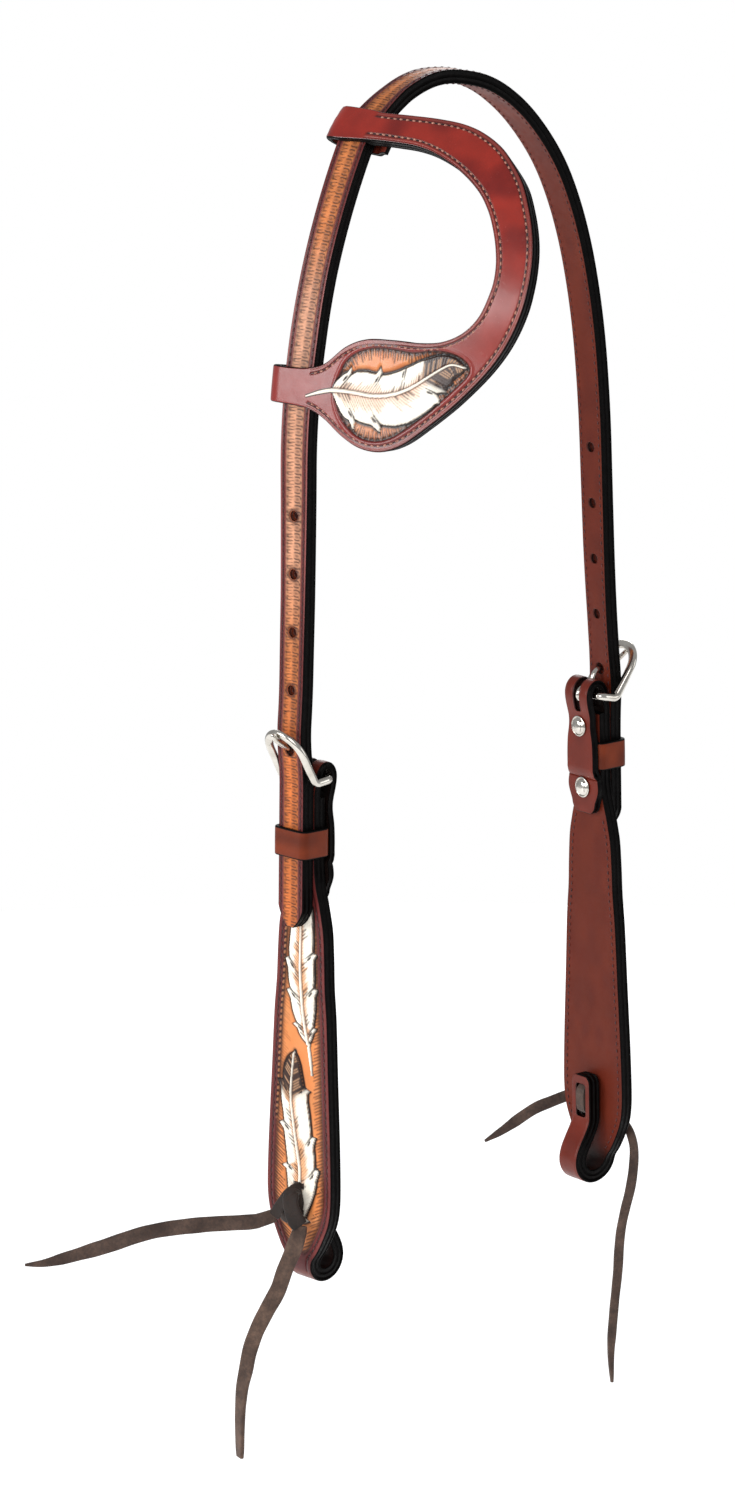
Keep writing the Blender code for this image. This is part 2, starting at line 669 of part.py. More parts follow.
def build_tongue(name, leg, hand, sag, hole):
    """Wire tongue: an eye round the bar, then out through the billet hole."""
    hu, hz = hole                   # inner face of the billet at the hole
    u, z, slope = bow_top(sag)
    rest = BAR_R - 0.25 + TONGUE_R * 0.85 + 0.3
    cu, cz = BAR_U + u + rest * math.sin(slope), z - rest * math.cos(slope)
    front = BAR_U + EYE_R
    line = [(BAR_U + EYE_R * math.cos(math.radians(a)), EYE_R * math.sin(math.radians(a)))
            for a in range(-260, 1, 26)]
    line += smooth_line([(front, 0.0), (front, 2.6), (front + 0.3, hz - 4.6), (front + 1.3, hz - 2.0),
                         (-0.6, hz - 0.4), (1.6, hz), (hu + 3.0, hz + 0.1), (hu + 5.6, hz + 0.2),
                         (hu + 8.0, hz + 1.1), (cu - 2.2, cz - 2.0), (cu, cz),
                         (cu + 1.5, cz + 2.2)], 1)[1:]
    n = len(line)
    sides = 7
    verts = []
    for i, (pu, pz) in enumerate(line):
        a, b = line[max(0, i - 1)], line[min(n - 1, i + 1)]
        du, dz = b[0] - a[0], b[1] - a[1]
        d = math.hypot(du, dz)
        left = n - 1 - i
        r = TONGUE_R * (1.0 if left > 8 else 0.85 + 0.15 * left / 8) * (0.62 if left == 0 else 1)
        for k in range(sides):
            t = 2 * math.pi * (k + 0.5) / sides
            off = r * math.cos(t)
            verts.append((pu - dz / d * off, r * math.sin(t), pz + du / d * off))
    faces = [tuple(range(sides)), tuple(range((n - 1) * sides, n * sides))]
    for i in range(n - 1):
        for k in range(sides):
            m = (k + 1) % sides
            faces.append((i * sides + k, i * sides + m, (i + 1) * sides + m, (i + 1) * sides + k))
    new_object(name, verts, faces, finish(name, NICKEL, 0.2, 1.0), (BAR_U, 0, 0), leg)


# ----------------------------------------------------------------- small parts


def build_keeper(name, leg, hand):
    """Leather ring round the billet and the cheek, closed under the chape."""
    inner = rounded_slot(0.15, 0.0, 13.1, 17.4, 0.8, 3)
    outer = rounded_slot(0.15, 0.0, 13.1 + 2 * KEEPER_WALL, 17.4 + 2 * KEEPER_WALL,
                         1.2 + KEEPER_WALL, 3)
    top, bottom = -KEEPER_AT + KEEPER_H / 2, -KEEPER_AT - KEEPER_H / 2
    n = len(inner)
    verts = []
    for loop, z in ((outer, top), (inner, top), (inner, bottom), (outer, bottom)):
        verts += [(x, hand * y, z) for x, y in loop]
    faces = []
    for ring in range(4):
        a, b = ring * n, (ring + 1) % 4 * n
        for k in range(n):
            m = (k + 1) % n
            faces.append((a + k, a + m, b + m, b + k))
    new_object(name, verts, faces, finish(name, LEATHER, 0.35), (0, 0, -KEEPER_AT), leg)


def build_rivet(name, leg, below, chape_face):
    cap = [(0.0, chape_face - 0.35), (CAP_R - 0.2, chape_face - 0.35), (CAP_R, chape_face - 0.6),
           (CAP_R, chape_face - 0.9), (4.1, chape_face - 1.4), (2.6, chape_face - 1.85),
           (0.0, chape_face - 2.05)]
    verts, faces = lathe(cap, lambda a, b, h: (h, a, b - below), 14)
    new_object(name + "_cap", verts, faces, finish(name + "_cap", NICKEL, 0.25, 1.0),
               (chape_face, 0, -below), leg)
    post = [(0.0, -0.15), (3.0, -0.15), (3.2, -0.35), (3.2, -0.9), (POST_R, -0.9),
            (POST_R, chape_face), (0.0, chape_face)]
    verts, faces = lathe(post, lambda a, b, h: (h, a, b - below), 10)
    new_object(name + "_post", verts, faces, finish(name + "_post", NICKEL, 0.3, 1.0),
               (0, 0, -below), leg)


def build_bight(name, leg):
    """Lace that passes in through one slit and back out through the other."""
    top, low = -SLITS_AT[0], -SLITS_AT[1]
    deep, t = -12.8, LACE_T / 2
    loop = [(0.1, top + t)]
    for a in (90, 60, 30, 0):
        loop.append((deep + 3 - 4 * math.cos(math.radians(a)),
                     top - 3 + 4 * math.sin(math.radians(a))))
    for a in (0, 30, 60, 90):
        loop.append((deep + 3 - 4 * math.cos(math.radians(a)),
                     low + 3 - 4 * math.sin(math.radians(a))))
    loop.append((0.1, low - t))
    loop.append((0.1, low + t))
    for a in (90, 45, 0):
        loop.append((deep + 3 - 2 * math.cos(math.radians(a)),
                     low + 3 - 2 * math.sin(math.radians(a))))
    for a in (0, 45, 90):
        loop.append((deep + 3 - 2 * math.cos(math.radians(a)),
                     top - 3 + 2 * math.sin(math.radians(a))))
    loop.append((0.1, top - t))
    n = len(loop)
    verts = [(u, -LACE_W / 2, z) for u, z in loop] + [(u, LACE_W / 2, z) for u, z in loop]
    faces = [tuple(range(n)), tuple(range(n, 2 * n))]
    faces += [(k, (k + 1) % n, (k + 1) % n + n, k + n) for k in range(n)]
    new_object(name, verts, faces, finish(name, SUEDE, 0.85), (0, 0, -SLITS_AT[0]), leg)


def build_knot(name, leg, hand, middle):
    """Lace knot: a plump lump with a flat back on the cheek."""
    depth, half_v, half_z = 7.6, 5.4, 8.4
    profile = [(0.0, 0.0), (1.0, 0.0)]
    for a in (18, 36, 54, 72):
        profile.append((math.cos(math.radians(a)) ** 0.7, math.sin(math.radians(a)) ** 0.8))
    profile.append((0.0, 1.0))
    verts, faces = lathe(profile, lambda a, b, h: (0.45 + depth * h, hand * half_v * a,
                                                   middle + half_z * b), 14)
    new_object(name, verts, faces, finish(name, SUEDE, 0.85), (0.45, 0, middle), leg)


def build_tail(name, leg, hand, route):
    """Loose end of the lace: a plain tube along its route."""
    fine = smooth_line(route, 8)
    length = [0.0]
    for a, b in zip(fine, fine[1:]):
        length.append(length[-1] + math.dist(a, b))
    count = max(8, round(length[-1] / 7.0))
    points = []
    for k in range(count + 1):
        want = length[-1] * k / count
        i = max(j for j in range(len(length)) if length[j] <= want + 1e-9)
        i = min(i, len(fine) - 2)
        t = (want - length[i]) / (length[i + 1] - length[i])
        points.append([fine[i][j] + t * (fine[i + 1][j] - fine[i][j]) for j in range(3)])
    curve = bpy.data.curves.new(name, "CURVE")
    curve.dimensions = "3D"
    curve.bevel_depth = TAIL_R * MM
    curve.bevel_resolution = 2
    curve.use_fill_caps = True
    start = points[0]
    spline = curve.splines.new("POLY")
    spline.points.add(len(points) - 1)
    for target, p in zip(spline.points, points):
        target.co = ((p[0] - start[0]) * MM, hand * (p[1] - start[1]) * MM,
                     (p[2] - start[2]) * MM, 1.0)
    curve.materials.append(finish(name, SUEDE, 0.85))
    ob = bpy.data.objects.new(name, curve)
    bpy.context.scene.collection.objects.link(ob)
    ob.parent = leg
    ob.location = Vector((start[0], hand * start[1], start[2])) * MM


# --------------------------------------------------------------------- cheeks


def end_arc(at, direction, half, corner, steps=4):
    """Half of a rounded end: from its middle out to its full half-width."""
    return [(at + direction * corner * (1 - math.cos(math.radians(90 * k / steps))),
             half - corner + corner * math.sin(math.radians(90 * k / steps)))
            for k in range(steps + 1)]


def build_cheek(side, leg, hand):
    def place(l, v, h):
        u, z = CHEEK.at(l, h)
        return u, hand * v, z

    chape_end = CHEEK.station("start", 55.0)
    tab_end = CHEEK.span("tab")[1]
    half = end_arc(chape_end, 1, 8.2, 5.0)
    half += [(CHEEK.station("start", b), w) for b, w in CHAPE_HALF[2:-1]]
    half += [(CHEEK.span("roll")[0], 8.0), (CHEEK.span("roll")[1], 8.0)]
    front = [(CHEEK.station("front", b), w) for b, w in CHEEK_HALF[1:]]
    fold = CHEEK.span("fold")
    front += [(fold[0] + 6, 7.0), (fold[0] + 11, 6.4), (fold[1], 6.3),
              (CHEEK.station("tab", 205), 6.3), (CHEEK.station("tab", 190), 6.3)]
    start = front[0][0]
    front = smooth_line(front, 1)
    half += [p for p in front if p[0] >= start]
    half += end_arc(tab_end, -1, 6.3, 4.0)[::-1]
    outline = [(l, w) for l, w in half] + [(l, -w) for l, w in half[::-1]]

    slot_a, slot_b = CHEEK.station("start", 7.0), CHEEK.station("front", 6.4)
    tab_slot = (CHEEK.station("tab", 197.3) + CHEEK.station("tab", 181.3)) / 2
    tab_slot_len = CHEEK.station("tab", 181.3) - CHEEK.station("tab", 197.3)
    slits = [rounded_slot(CHEEK.station("front", b), 0, 2.8, 6.0, 0.5, 1) for b in SLITS_AT]
    tab_hole = rounded_slot(tab_slot, 0, tab_slot_len, 6.3, 1.3, 2)
    holes = [rounded_slot((slot_a + slot_b) / 2, 0, slot_b - slot_a, 3.8, 1.3, 2)]
    holes += [circle(CHEEK.station("start", b), 0, POST_R + 0.4, 8) for b in RIVETS_AT]
    holes += [circle(CHEEK.station("front", b), 0, POST_R + 0.4, 8) for b in RIVETS_AT]
    holes += slits + [tab_hole]

    roll = CHEEK.span("roll")
    cuts = [CHEEK.station("start", b) for b in (37.8, 36.8, 35.6, 34.6, 12, 8, 4)]
    cuts += [roll[0] + (roll[1] - roll[0]) * k / 6 for k in range(7)]
    cuts += [CHEEK.station("front", b) for b in (2.5, 5.5, 8.0)]
    fold_cuts = [fold[0] + (fold[1] - fold[0]) * k / 13 for k in range(14)]
    tab_cuts = [CHEEK.station("tab", b) for b in (213.5, 210, 207, 204, 200.5, 197)]
    cuts += fold_cuts + tab_cuts
    outer = sheet(side + "_cheek_outer", cut_flat(outline, holes, cuts, []), place, OUT0, OUT1,
                  finish(side + "_cheek_outer", TOOLED, 0.45), parent=leg)

    # shallow seats for the rivets' inner heads, cut into the front face
    verts, faces = [], []
    for below in RIVETS_AT:
        v, f = lathe([(0.0, 1.0), (3.55, 1.0), (3.55, -1.1), (0.0, -1.1)],
                     lambda a, b, h: (h, a, b - below), 12)
        faces += [tuple(i + len(verts) for i in face) for face in f]
        verts += v
    cutter = new_object(side + "_rivet_seats", verts, faces, finish(side + "_seat", NICKEL, 0.5),
                        parent=leg)
    cutter.hide_render = True
    cutter.display_type = "WIRE"
    seat = outer.modifiers.new("rivet seats", "BOOLEAN")
    seat.operation = "DIFFERENCE"
    seat.solver = "EXACT"
    seat.object = cutter

    lining_start = CHEEK.station("front", 8.4)
    inner_half = [(lining_start, 8.2)] + [p for p in half if p[0] > lining_start + 0.5]
    outline = inner_half + [(l, -w) for l, w in inner_half[::-1]]
    holes = [circle(CHEEK.station("front", b), 0, POST_R + 0.4, 8) for b in RIVETS_AT]
    holes += slits + [tab_hole]
    sheet(side + "_cheek_lining", cut_flat(outline, holes, fold_cuts + tab_cuts, []), place,
          LIN0, LIN1, finish(side + "_cheek_lining", LINING, 0.5), parent=leg)


def build_leg(side, hand, station, bar_above, hole, sag, knot_at, tails):
    """Everything below the strap on one side, in that leg's own frame."""
    sign = -1 if side == "near" else 1
    point, out, ahead, along = strap_frame(sign * station)
    origin = point - out * GAP - along * bar_above
    turn = Matrix((out, ahead * hand, -along)).transposed()
    leg = empty(side + "_leg", origin, turn)
    hole_point = strap_frame(sign * hole)[0] - origin
    hole_at = (hole_point.dot(out), -hole_point.dot(along))
    build_cheek(side, leg, hand)
    build_buckle(side + "_buckle_frame", leg, hand, sag)
    build_tongue(side + "_buckle_tongue", leg, hand, sag, hole_at)
    build_keeper(side + "_keeper", leg, hand)
    build_rivet(side + "_rivet_upper", leg, RIVETS_AT[0], CHAPE_TOP_FACE)
    build_rivet(side + "_rivet_lower", leg, RIVETS_AT[1], CHAPE_LOW_FACE)
    build_bight(side + "_lace_bight", leg)
    build_knot(side + "_lace_knot", leg, hand, knot_at)
    for letter, route in tails:
        build_tail(side + "_lace_tail_" + letter, leg, hand, route)
    return leg


build_strap()
build_ear()
build_leg("near", 1, 347.0, NEAR_BAR, NEAR_TONGUE_HOLE, 0.0, -190.5,
          (("a", NEAR_TAIL_A), ("b", NEAR_TAIL_B)))
build_leg("far", -1, 346.5, FAR_BAR, FAR_TONGUE_HOLE, FAR_BUCKLE_SAG, -190.5,
          (("a", FAR_TAIL_C), ("b", FAR_TAIL_D)))
bpy.context.view_layer.update()
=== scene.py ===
"""Looks of the one-ear headstall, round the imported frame.

Shapes are worked out in millimetres in the frame's own axes and scaled once,
when a mesh is made.  The strap, the ear piece and the cheeks are flat patterns
carried onto their paths, so every stitch and tool mark is placed on the flat.
"""

import math

import bpy
import numpy as np
from mathutils import Matrix, Vector


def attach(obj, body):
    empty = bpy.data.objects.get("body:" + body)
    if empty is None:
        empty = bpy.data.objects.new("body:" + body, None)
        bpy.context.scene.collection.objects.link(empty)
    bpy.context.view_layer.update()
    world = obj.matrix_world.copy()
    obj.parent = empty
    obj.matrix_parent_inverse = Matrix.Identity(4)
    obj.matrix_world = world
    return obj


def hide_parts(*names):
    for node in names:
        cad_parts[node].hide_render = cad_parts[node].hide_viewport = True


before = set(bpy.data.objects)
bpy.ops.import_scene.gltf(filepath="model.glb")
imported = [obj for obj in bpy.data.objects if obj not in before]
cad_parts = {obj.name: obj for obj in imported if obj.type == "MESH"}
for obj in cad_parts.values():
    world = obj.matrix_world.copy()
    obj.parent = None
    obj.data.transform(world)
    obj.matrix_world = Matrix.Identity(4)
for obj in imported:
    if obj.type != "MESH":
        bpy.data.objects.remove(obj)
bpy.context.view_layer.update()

MM = 0.001

# ------------------------------------------------------------- shared dimensions
STRAP_WIDTH, OUTER_T, LINING_T, GAP = 15.9, 3.1, 2.7, 0.3
HALF = STRAP_WIDTH / 2
OUT0, OUT1 = 0.02, GAP / 2 + OUTER_T
LIN0, LIN1 = -GAP / 2 - LINING_T, -0.02
HOLE_PITCH, HOLE_COUNT, HOLE_R, TONGUE_HOLE_R = 25.4, 5, 2.25, 2.65
BAR_R, BUCKLE_INNER, BAR_U = 1.85, 17.0, -7.2
BUCKLE_CORNER, BUCKLE_LEAN, BUCKLE_REACH = (8.8, -1.1), 29.0, 25.0
TONGUE_R, EYE_R = 1.2, 3.35
ROLL_U, ROLL_Z = 2.9, 3.9
KEEPER_H, KEEPER_AT, KEEPER_WALL = 12.7, 28.0, 1.6
RIVETS_AT, CAP_R = (14.5, 43.0), 4.75
FOLD_R, FOLD_AT, TAB_END, SLITS_AT = 7.5, 216.9, 177.0, (183.0, 195.0)
EAR_GLUE = 6.75
EAR_BEND = math.radians(10.0) / 110.0
NEAR_SLOPE = [(0, 0), (8, 12.6), (15.5, 22.2), (23.5, 29.1), (33, 35), (44, 46), (54, 64.6),
              (192, 90), (242, 89.3), (250, 88.5), (282, 88.5), (300, 85.5), (316, 96),
              (330, 89.2), (412, 89.2)]
FAR_SLOPE = [(0, 0), (8, 7), (16.5, 15), (24.5, 24.2), (32.5, 32.2), (43, 39), (53, 46), (69.5, 53.6),
             (87, 64), (107, 71), (128, 76.7), (168.5, 83.5), (209.5, 87.2), (249.5, 87),
             (289.5, 85), (309.5, 84.5), (326.5, 92), (342.5, 88.5), (424, 88.5)]
NEAR_TWIST = [(0, -1.5), (22, -1.5), (38, 7), (54, 8), (106, 7), (136, 10.5), (194, 8.6), (242, 4),
              (292, 1.5), (332, 2.5), (412, 2.5)]
FAR_TWIST = [(0, -1.5), (12, 1), (40, -1), (61, -0.5), (102, 1.4), (153, 2.1), (204, 3), (254, 5),
             (289, 8), (304, 7.6), (318, 4), (344, 2.5), (424, 2.5)]
EAR_SLOPE = [(28, 45), (42, 47), (54, 64.6)]
NEAR_TONGUE_HOLE, FAR_TONGUE_HOLE, NEAR_TIP, FAR_TIP = 312.0, 311.5, 392.0, 385.0
NEAR_BAR, FAR_BAR, FAR_BUCKLE_SAG = 21.3, 25.0, 5.3
CHEEK_HALF = [(0, 8.1), (34, 8.2), (41, 8.4), (48, 9.6), (54.5, 11.5), (61, 13.2), (68, 14.6),
              (80, 15.4), (92, 15.9), (107, 17.3), (134, 18.7), (161, 20.2), (180, 20.9),
              (190, 20.7), (197.5, 19.3), (204.5, 16.2), (211.5, 12.2), (217.5, 8.6)]
CHAPE_HALF = [(43, 10.7), (35, 9.3), (28, 9.2), (21, 8.8), (14.5, 7.7), (8, 7.9)]
EAR_OUTER_EDGE = [(39, -49), (39, -30), (38.8, -12), (38.3, -5), (37.6, 4), (37.4, 12.7),
                  (35.4, 26.5), (33.5, 40.4), (32.6, 54), (34, 66), (38, 78), (44.5, 88),
                  (52.1, 95.8), (61.5, 102.2), (70.2, 107.2), (78.8, 110.8), (87.6, 113),
                  (96.5, 114), (105.6, 113.6), (114.8, 110.8), (124.4, 106), (134.4, 99.4),
                  (144.4, 91.7), (154.5, 82.6), (164.8, 71), (172.6, 60.5), (176.6, 50),
                  (176.4, 39), (172.6, 29), (166.6, 19), (163.6, 11), (162.8, 2), (162.7, -12),
                  (162.7, -49)]
EAR_INNER_EDGE = [(52, -49), (52, -30), (51.8, -8), (51.2, 0), (50.2, 10), (49, 24), (48.2, 37),
                  (49.4, 49), (53.6, 63.1), (60.2, 75.5), (67.6, 83.7), (75.5, 89.3), (83.6, 93.4),
                  (92, 96), (101, 96.3), (112, 92.8), (120.5, 85.5), (126, 75.5), (128.3, 64),
                  (129, 50.7), (130.6, 36.6), (135.2, 26), (143.2, 16.5), (146.2, 8), (147.2, 0),
                  (147.6, -12), (147.6, -49)]
NEAR_TAIL_A = [(8.6, -6.2, -196.6), (12.5, -9.6, -198.4), (16.5, -13.3, -199.7),
               (32.7, -28.1, -201.3), (48.8, -43, -204.8), (64.9, -57.8, -212.3),
               (81, -72.7, -219), (89.1, -80.1, -220.5)]
NEAR_TAIL_B = [(4.3, 5.9, -199.4), (4.6, 5.5, -203), (6.2, 3.7, -210.6), (8.7, 1.1, -219.8),
               (10.9, -0.9, -229), (14.3, -4.2, -238.3), (17.4, -7.2, -247.5),
               (19.6, -9.3, -256.8), (20.8, -10.5, -266), (22, -11.7, -275.3),
               (22.5, -12.3, -289.2), (22.3, -12.4, -306.4)]
FAR_TAIL_C = [(6.4, -6.2, -191.6), (6.2, -10, -192.4), (5.2, -16, -193.4), (3.8, -21.2, -194.4),
              (0.6, -25.8, -195.8), (-6.4, -30.6, -198.8), (-13.1, -35.6, -202.5),
              (-23.9, -43.7, -211.8), (-30.6, -48.7, -216.9)]
FAR_TAIL_D = [(5.6, 5.0, -199.6), (5.0, 8.6, -201.6), (4.7, 11.6, -203.4), (4.9, 14, -207.2),
              (5.5, 15, -213.5), (5, 14.8, -223), (3.7, 14, -232.4), (1.7, 12.7, -241.9),
              (0.1, 11.6, -251.4), (-0.8, 11.1, -261), (-1.4, 10.9, -270.5),
              (-2.3, 10.4, -280.1), (-3.2, 9.9, -289.7), (-4.6, 9.2, -308.9),
              (-4.6, 9.6, -324.3)]

# --------------------------------------------------------------------- camera
AZIMUTH, ELEVATION, DISTANCE, FOCAL_PX = -40.0, 13.0, 2660.0, 6118.0
AIM = np.array([-38.77, 0.0, -287.48])
_a, _e = math.radians(AZIMUTH), math.radians(ELEVATION)
TO_CAMERA = np.array([math.sin(_a) * math.cos(_e), -math.cos(_a) * math.cos(_e), math.sin(_e)])


def add_camera():
    data = bpy.data.cameras.new("camera")
    data.sensor_fit = "AUTO"
    data.sensor_width = 36.0
    data.lens = FOCAL_PX / 1500.0 * 36.0
    data.clip_start, data.clip_end = 0.1, 30.0
    ob = bpy.data.objects.new("camera", data)
    bpy.context.scene.collection.objects.link(ob)
    back = Vector(TO_CAMERA)
    right = Vector((0, 0, 1)).cross(back).normalized()
    up = back.cross(right)
    turn = Matrix((right, up, back)).transposed().to_4x4()
    ob.matrix_world = Matrix.Translation(Vector((AIM + TO_CAMERA * DISTANCE) * MM)) @ turn
    bpy.context.scene.camera = ob


add_camera()

# --------------------------------------------------------------- small helpers


def smoothstep(t):
    t = np.clip(t, 0.0, 1.0)
    return t * t * (3 - 2 * t)


def ramp(x, a, b):
    return smoothstep((np.asarray(x, float) - a) / (b - a))


def smooth_line(points, steps):
    """Catmull-Rom curve through the points, as an array."""
    p = np.asarray(points, float)
    p = np.vstack([2 * p[0] - p[1], p, 2 * p[-1] - p[-2]])
    t = np.arange(steps) / steps
    out = []
    for i in range(1, len(p) - 2):
        a, b, c, d = p[i - 1], p[i], p[i + 1], p[i + 2]
        tt = t[:, None]
        out.append(0.5 * (2 * b + (c - a) * tt + (2 * a - 5 * b + 4 * c - d) * tt ** 2
                          + (3 * b - a - 3 * c + d) * tt ** 3))
    out.append(p[-2][None, :])
    return np.vstack(out)


def arc_lengths(p):
    return np.concatenate([[0.0], np.cumsum(np.linalg.norm(np.diff(p, axis=0), axis=1))])


def along(p, at):
    """Points on a polyline at the given lengths."""
    l = arc_lengths(p)
    return np.stack([np.interp(at, l, p[:, k]) for k in range(p.shape[1])], 1)


def hash01(i, seed=0.0):
    v = np.sin(np.asarray(i, float) * 12.9898 + seed * 78.233 + 4.1) * 43758.5453
    return v - np.floor(v)


def value_noise(x, y, seed=0.0):
    """Smooth noise from 0 to 1 with one cell per unit."""
    ix, iy = np.floor(x), np.floor(y)
    fx, fy = smoothstep(x - ix), smoothstep(y - iy)

    def corner(a, b):
        return hash01((ix + a) * 1.37 + (iy + b) * 57.31, seed)

    top = corner(0, 0) * (1 - fx) + corner(1, 0) * fx
    low = corner(0, 1) * (1 - fx) + corner(1, 1) * fx
    return top * (1 - fy) + low * fy


def lin(r, g, b):
    """Linear colour from eight-bit screen values."""
    c = np.array([r, g, b], float) / 255.0
    return np.where(c <= 0.04045, c / 12.92, ((c + 0.055) / 1.055) ** 2.4)


def mix(a, b, t):
    t = np.clip(np.asarray(t, float), 0, 1)[..., None]
    return a * (1 - t) + b * t


def to_segments(px, py, line):
    """Distance, length along and side of points against a polyline."""
    n = len(px)
    best = np.full(n, 1e9)
    where = np.zeros(n)
    side = np.zeros(n)
    lengths = arc_lengths(line)
    for k in range(len(line) - 1):
        ax, ay = line[k]
        dx, dy = line[k + 1] - line[k]
        ll = dx * dx + dy * dy + 1e-12
        t = np.clip(((px - ax) * dx + (py - ay) * dy) / ll, 0, 1)
        ex, ey = px - ax - t * dx, py - ay - t * dy
        d = ex * ex + ey * ey
        near = d < best
        best = np.where(near, d, best)
        where = np.where(near, lengths[k] + t * math.sqrt(ll), where)
        side = np.where(near, np.sign(dx * ey - dy * ex), side)
    return np.sqrt(best), where, side


def inside(px, py, poly):
    odd = np.zeros(len(px), bool)
    for (xa, ya), (xb, yb) in zip(poly, np.roll(poly, -1, axis=0)):
        if ya == yb:
            continue
        cross = (ya > py) != (yb > py)
        odd ^= cross & (px < (xb - xa) * (py - ya) / (yb - ya) + xa)
    return odd


# ------------------------------------------------------------------ the paths


class Spine:
    def __init__(self, knots):
        k = np.array(knots, float)
        self.s, self.t = k[:, 0], np.radians(k[:, 1])
        self.x, self.z = [0.0], [0.0]
        for i in range(len(k) - 1):
            dx, dz = self.arc(self.s[i + 1] - self.s[i], self.t[i], self.t[i + 1])
            self.x.append(self.x[-1] + float(dx))
            self.z.append(self.z[-1] - float(dz))
        self.x, self.z = np.array(self.x), np.array(self.z)

    @staticmethod
    def arc(length, ta, tb):
        # the chord of an even arc, safe when it is straight
        half = (tb - ta) / 2
        chord = length * np.sinc(half / math.pi)
        return chord * np.cos(ta + half), chord * np.sin(ta + half)

    def at(self, s):
        i = np.clip(np.searchsorted(self.s, s, side="left") - 1, 0, len(self.s) - 2)
        a, ta = self.s[i], self.t[i]
        t = ta + (self.t[i + 1] - ta) * (s - a) / (self.s[i + 1] - a)
        dx, dz = self.arc(s - a, ta, t)
        return self.x[i] + dx, self.z[i] - dz, t


NEAR_SPINE, FAR_SPINE = Spine(NEAR_SLOPE), Spine(FAR_SLOPE)


def table(knots, x):
    k = np.array(knots, float)
    return np.interp(x, k[:, 0], k[:, 1])


def strap_axes(side, slope, twist):
    side, slope = np.broadcast_arrays(np.asarray(side, float), slope)
    zero = np.zeros_like(slope)
    out = np.stack([side * np.sin(slope), zero, np.cos(slope)], -1)
    ahead = np.stack([zero, zero - 1, zero], -1)
    c, s = np.cos(np.radians(twist))[..., None], np.sin(np.radians(twist))[..., None]
    return out * c + ahead * s, ahead * c - out * s


def strap_frame(s):
    s = np.asarray(s, float)
    a, near = np.abs(s), s < 0
    xn, zn, tn = NEAR_SPINE.at(a)
    xf, zf, tf = FAR_SPINE.at(a)
    side = np.where(near, -1.0, 1.0)
    x, z, slope = np.where(near, xn, xf), np.where(near, zn, zf), np.where(near, tn, tf)
    twist = np.where(near, table(NEAR_TWIST, a), table(FAR_TWIST, a))
    out, ahead = strap_axes(side, slope, twist)
    down = np.stack([side * np.cos(slope), np.zeros_like(slope), -np.sin(slope)], -1)
    return np.stack([side * x, np.zeros_like(x), z], -1), out, ahead, down


def on_strap(s, v, u):
    point, out, ahead, _ = strap_frame(s)
    return point + out * np.asarray(u)[..., None] + ahead * np.asarray(v)[..., None]


def on_strap_glued(s, v, h):
    return on_strap(s, v, np.asarray(h) + LINING_T + GAP / 2)


# the ear piece's own line above the strap's even arc, walked upward
_x, _z, _ = (float(v) for v in NEAR_SPINE.at(np.array(54.0)))
_walk = [(54.0, _x, _z)]
while _walk[-1][0] > 26.0:
    s0, x0, z0 = _walk[-1]
    th = math.radians(float(table(EAR_SLOPE, s0 - 0.25)))
    _walk.append((s0 - 0.5, x0 - math.cos(th) * 0.5, z0 + math.sin(th) * 0.5))
EAR_WALK = np.array(_walk[::-1])
LOOP_BACK, LOOP_R = HALF + 0.15, 3.95
LOOP_LOW, LOOP_ARC = EAR_GLUE - 2 * LOOP_R, math.pi * LOOP_R


def _ear_lines():
    """The ear's line with its slope and twist, as it is on the strap and as it eases out beyond it."""
    s = np.arange(26.5, 200.0, 0.5)
    x, z, slope = NEAR_SPINE.at(np.maximum(s, 54.0))
    high = s < 54.0
    x = np.where(high, np.interp(s, EAR_WALK[:, 0], EAR_WALK[:, 1]), x)
    z = np.where(high, np.interp(s, EAR_WALK[:, 0], EAR_WALK[:, 2]), z)
    slope = np.where(high, np.radians(table(EAR_SLOPE, s)), slope)
    twist = np.where(high, 8.0, table(NEAR_TWIST, s))
    firm = np.stack([x, z, slope, twist], 1)
    reach = 48
    kernel = np.exp(-(np.arange(-reach, reach + 1) / 17.0) ** 2)
    kernel /= kernel.sum()
    first = 2 * firm[0] - firm[reach:0:-1]
    last = 2 * firm[-1] - firm[-2:-reach - 2:-1]
    padded = np.vstack([first, firm, last])
    soft = np.stack([np.convolve(padded[:, k], kernel, mode="valid") for k in range(4)], 1)
    return s, firm, soft


EAR_S, EAR_FIRM, EAR_SOFT = _ear_lines()


def on_ear(s, q, h):
    s, q, h = np.asarray(s, float), np.asarray(q, float), np.asarray(h, float)
    ease = smoothstep((q - 10.0) / 28.0)
    x, z, slope, twist = (np.interp(s, EAR_S, EAR_FIRM[:, k]) * (1 - ease)
                          + np.interp(s, EAR_S, EAR_SOFT[:, k]) * ease for k in range(4))
    point = np.stack([-x, 0 * x, z], -1)
    out, ahead = strap_axes(-1.0, slope, twist)
    psi = EAR_BEND * np.maximum(q - 8, 0)
    u = EAR_GLUE - (1 - np.cos(psi)) / EAR_BEND + h * np.cos(psi)
    v = np.where(q > 8, 8 + np.sin(psi) / EAR_BEND + h * np.sin(psi), q)
    a = -LOOP_BACK - q
    phi = np.clip(a, 0, LOOP_ARC) / LOOP_R
    turn = (a > 0) & (a < LOOP_ARC)
    u = np.where(turn, LOOP_LOW + LOOP_R + (LOOP_R + h) * np.cos(phi), u)
    v = np.where(turn, -LOOP_BACK - (LOOP_R + h) * np.sin(phi), v)
    under = a >= LOOP_ARC
    vu = -LOOP_BACK + a - LOOP_ARC
    u = np.where(under, LOOP_LOW - h + (EAR_GLUE - LOOP_LOW - 3.3) * smoothstep((vu - 8.6) / 8.0), u)
    v = np.where(under, vu, v)
    return point + out * u[..., None] + ahead * v[..., None]


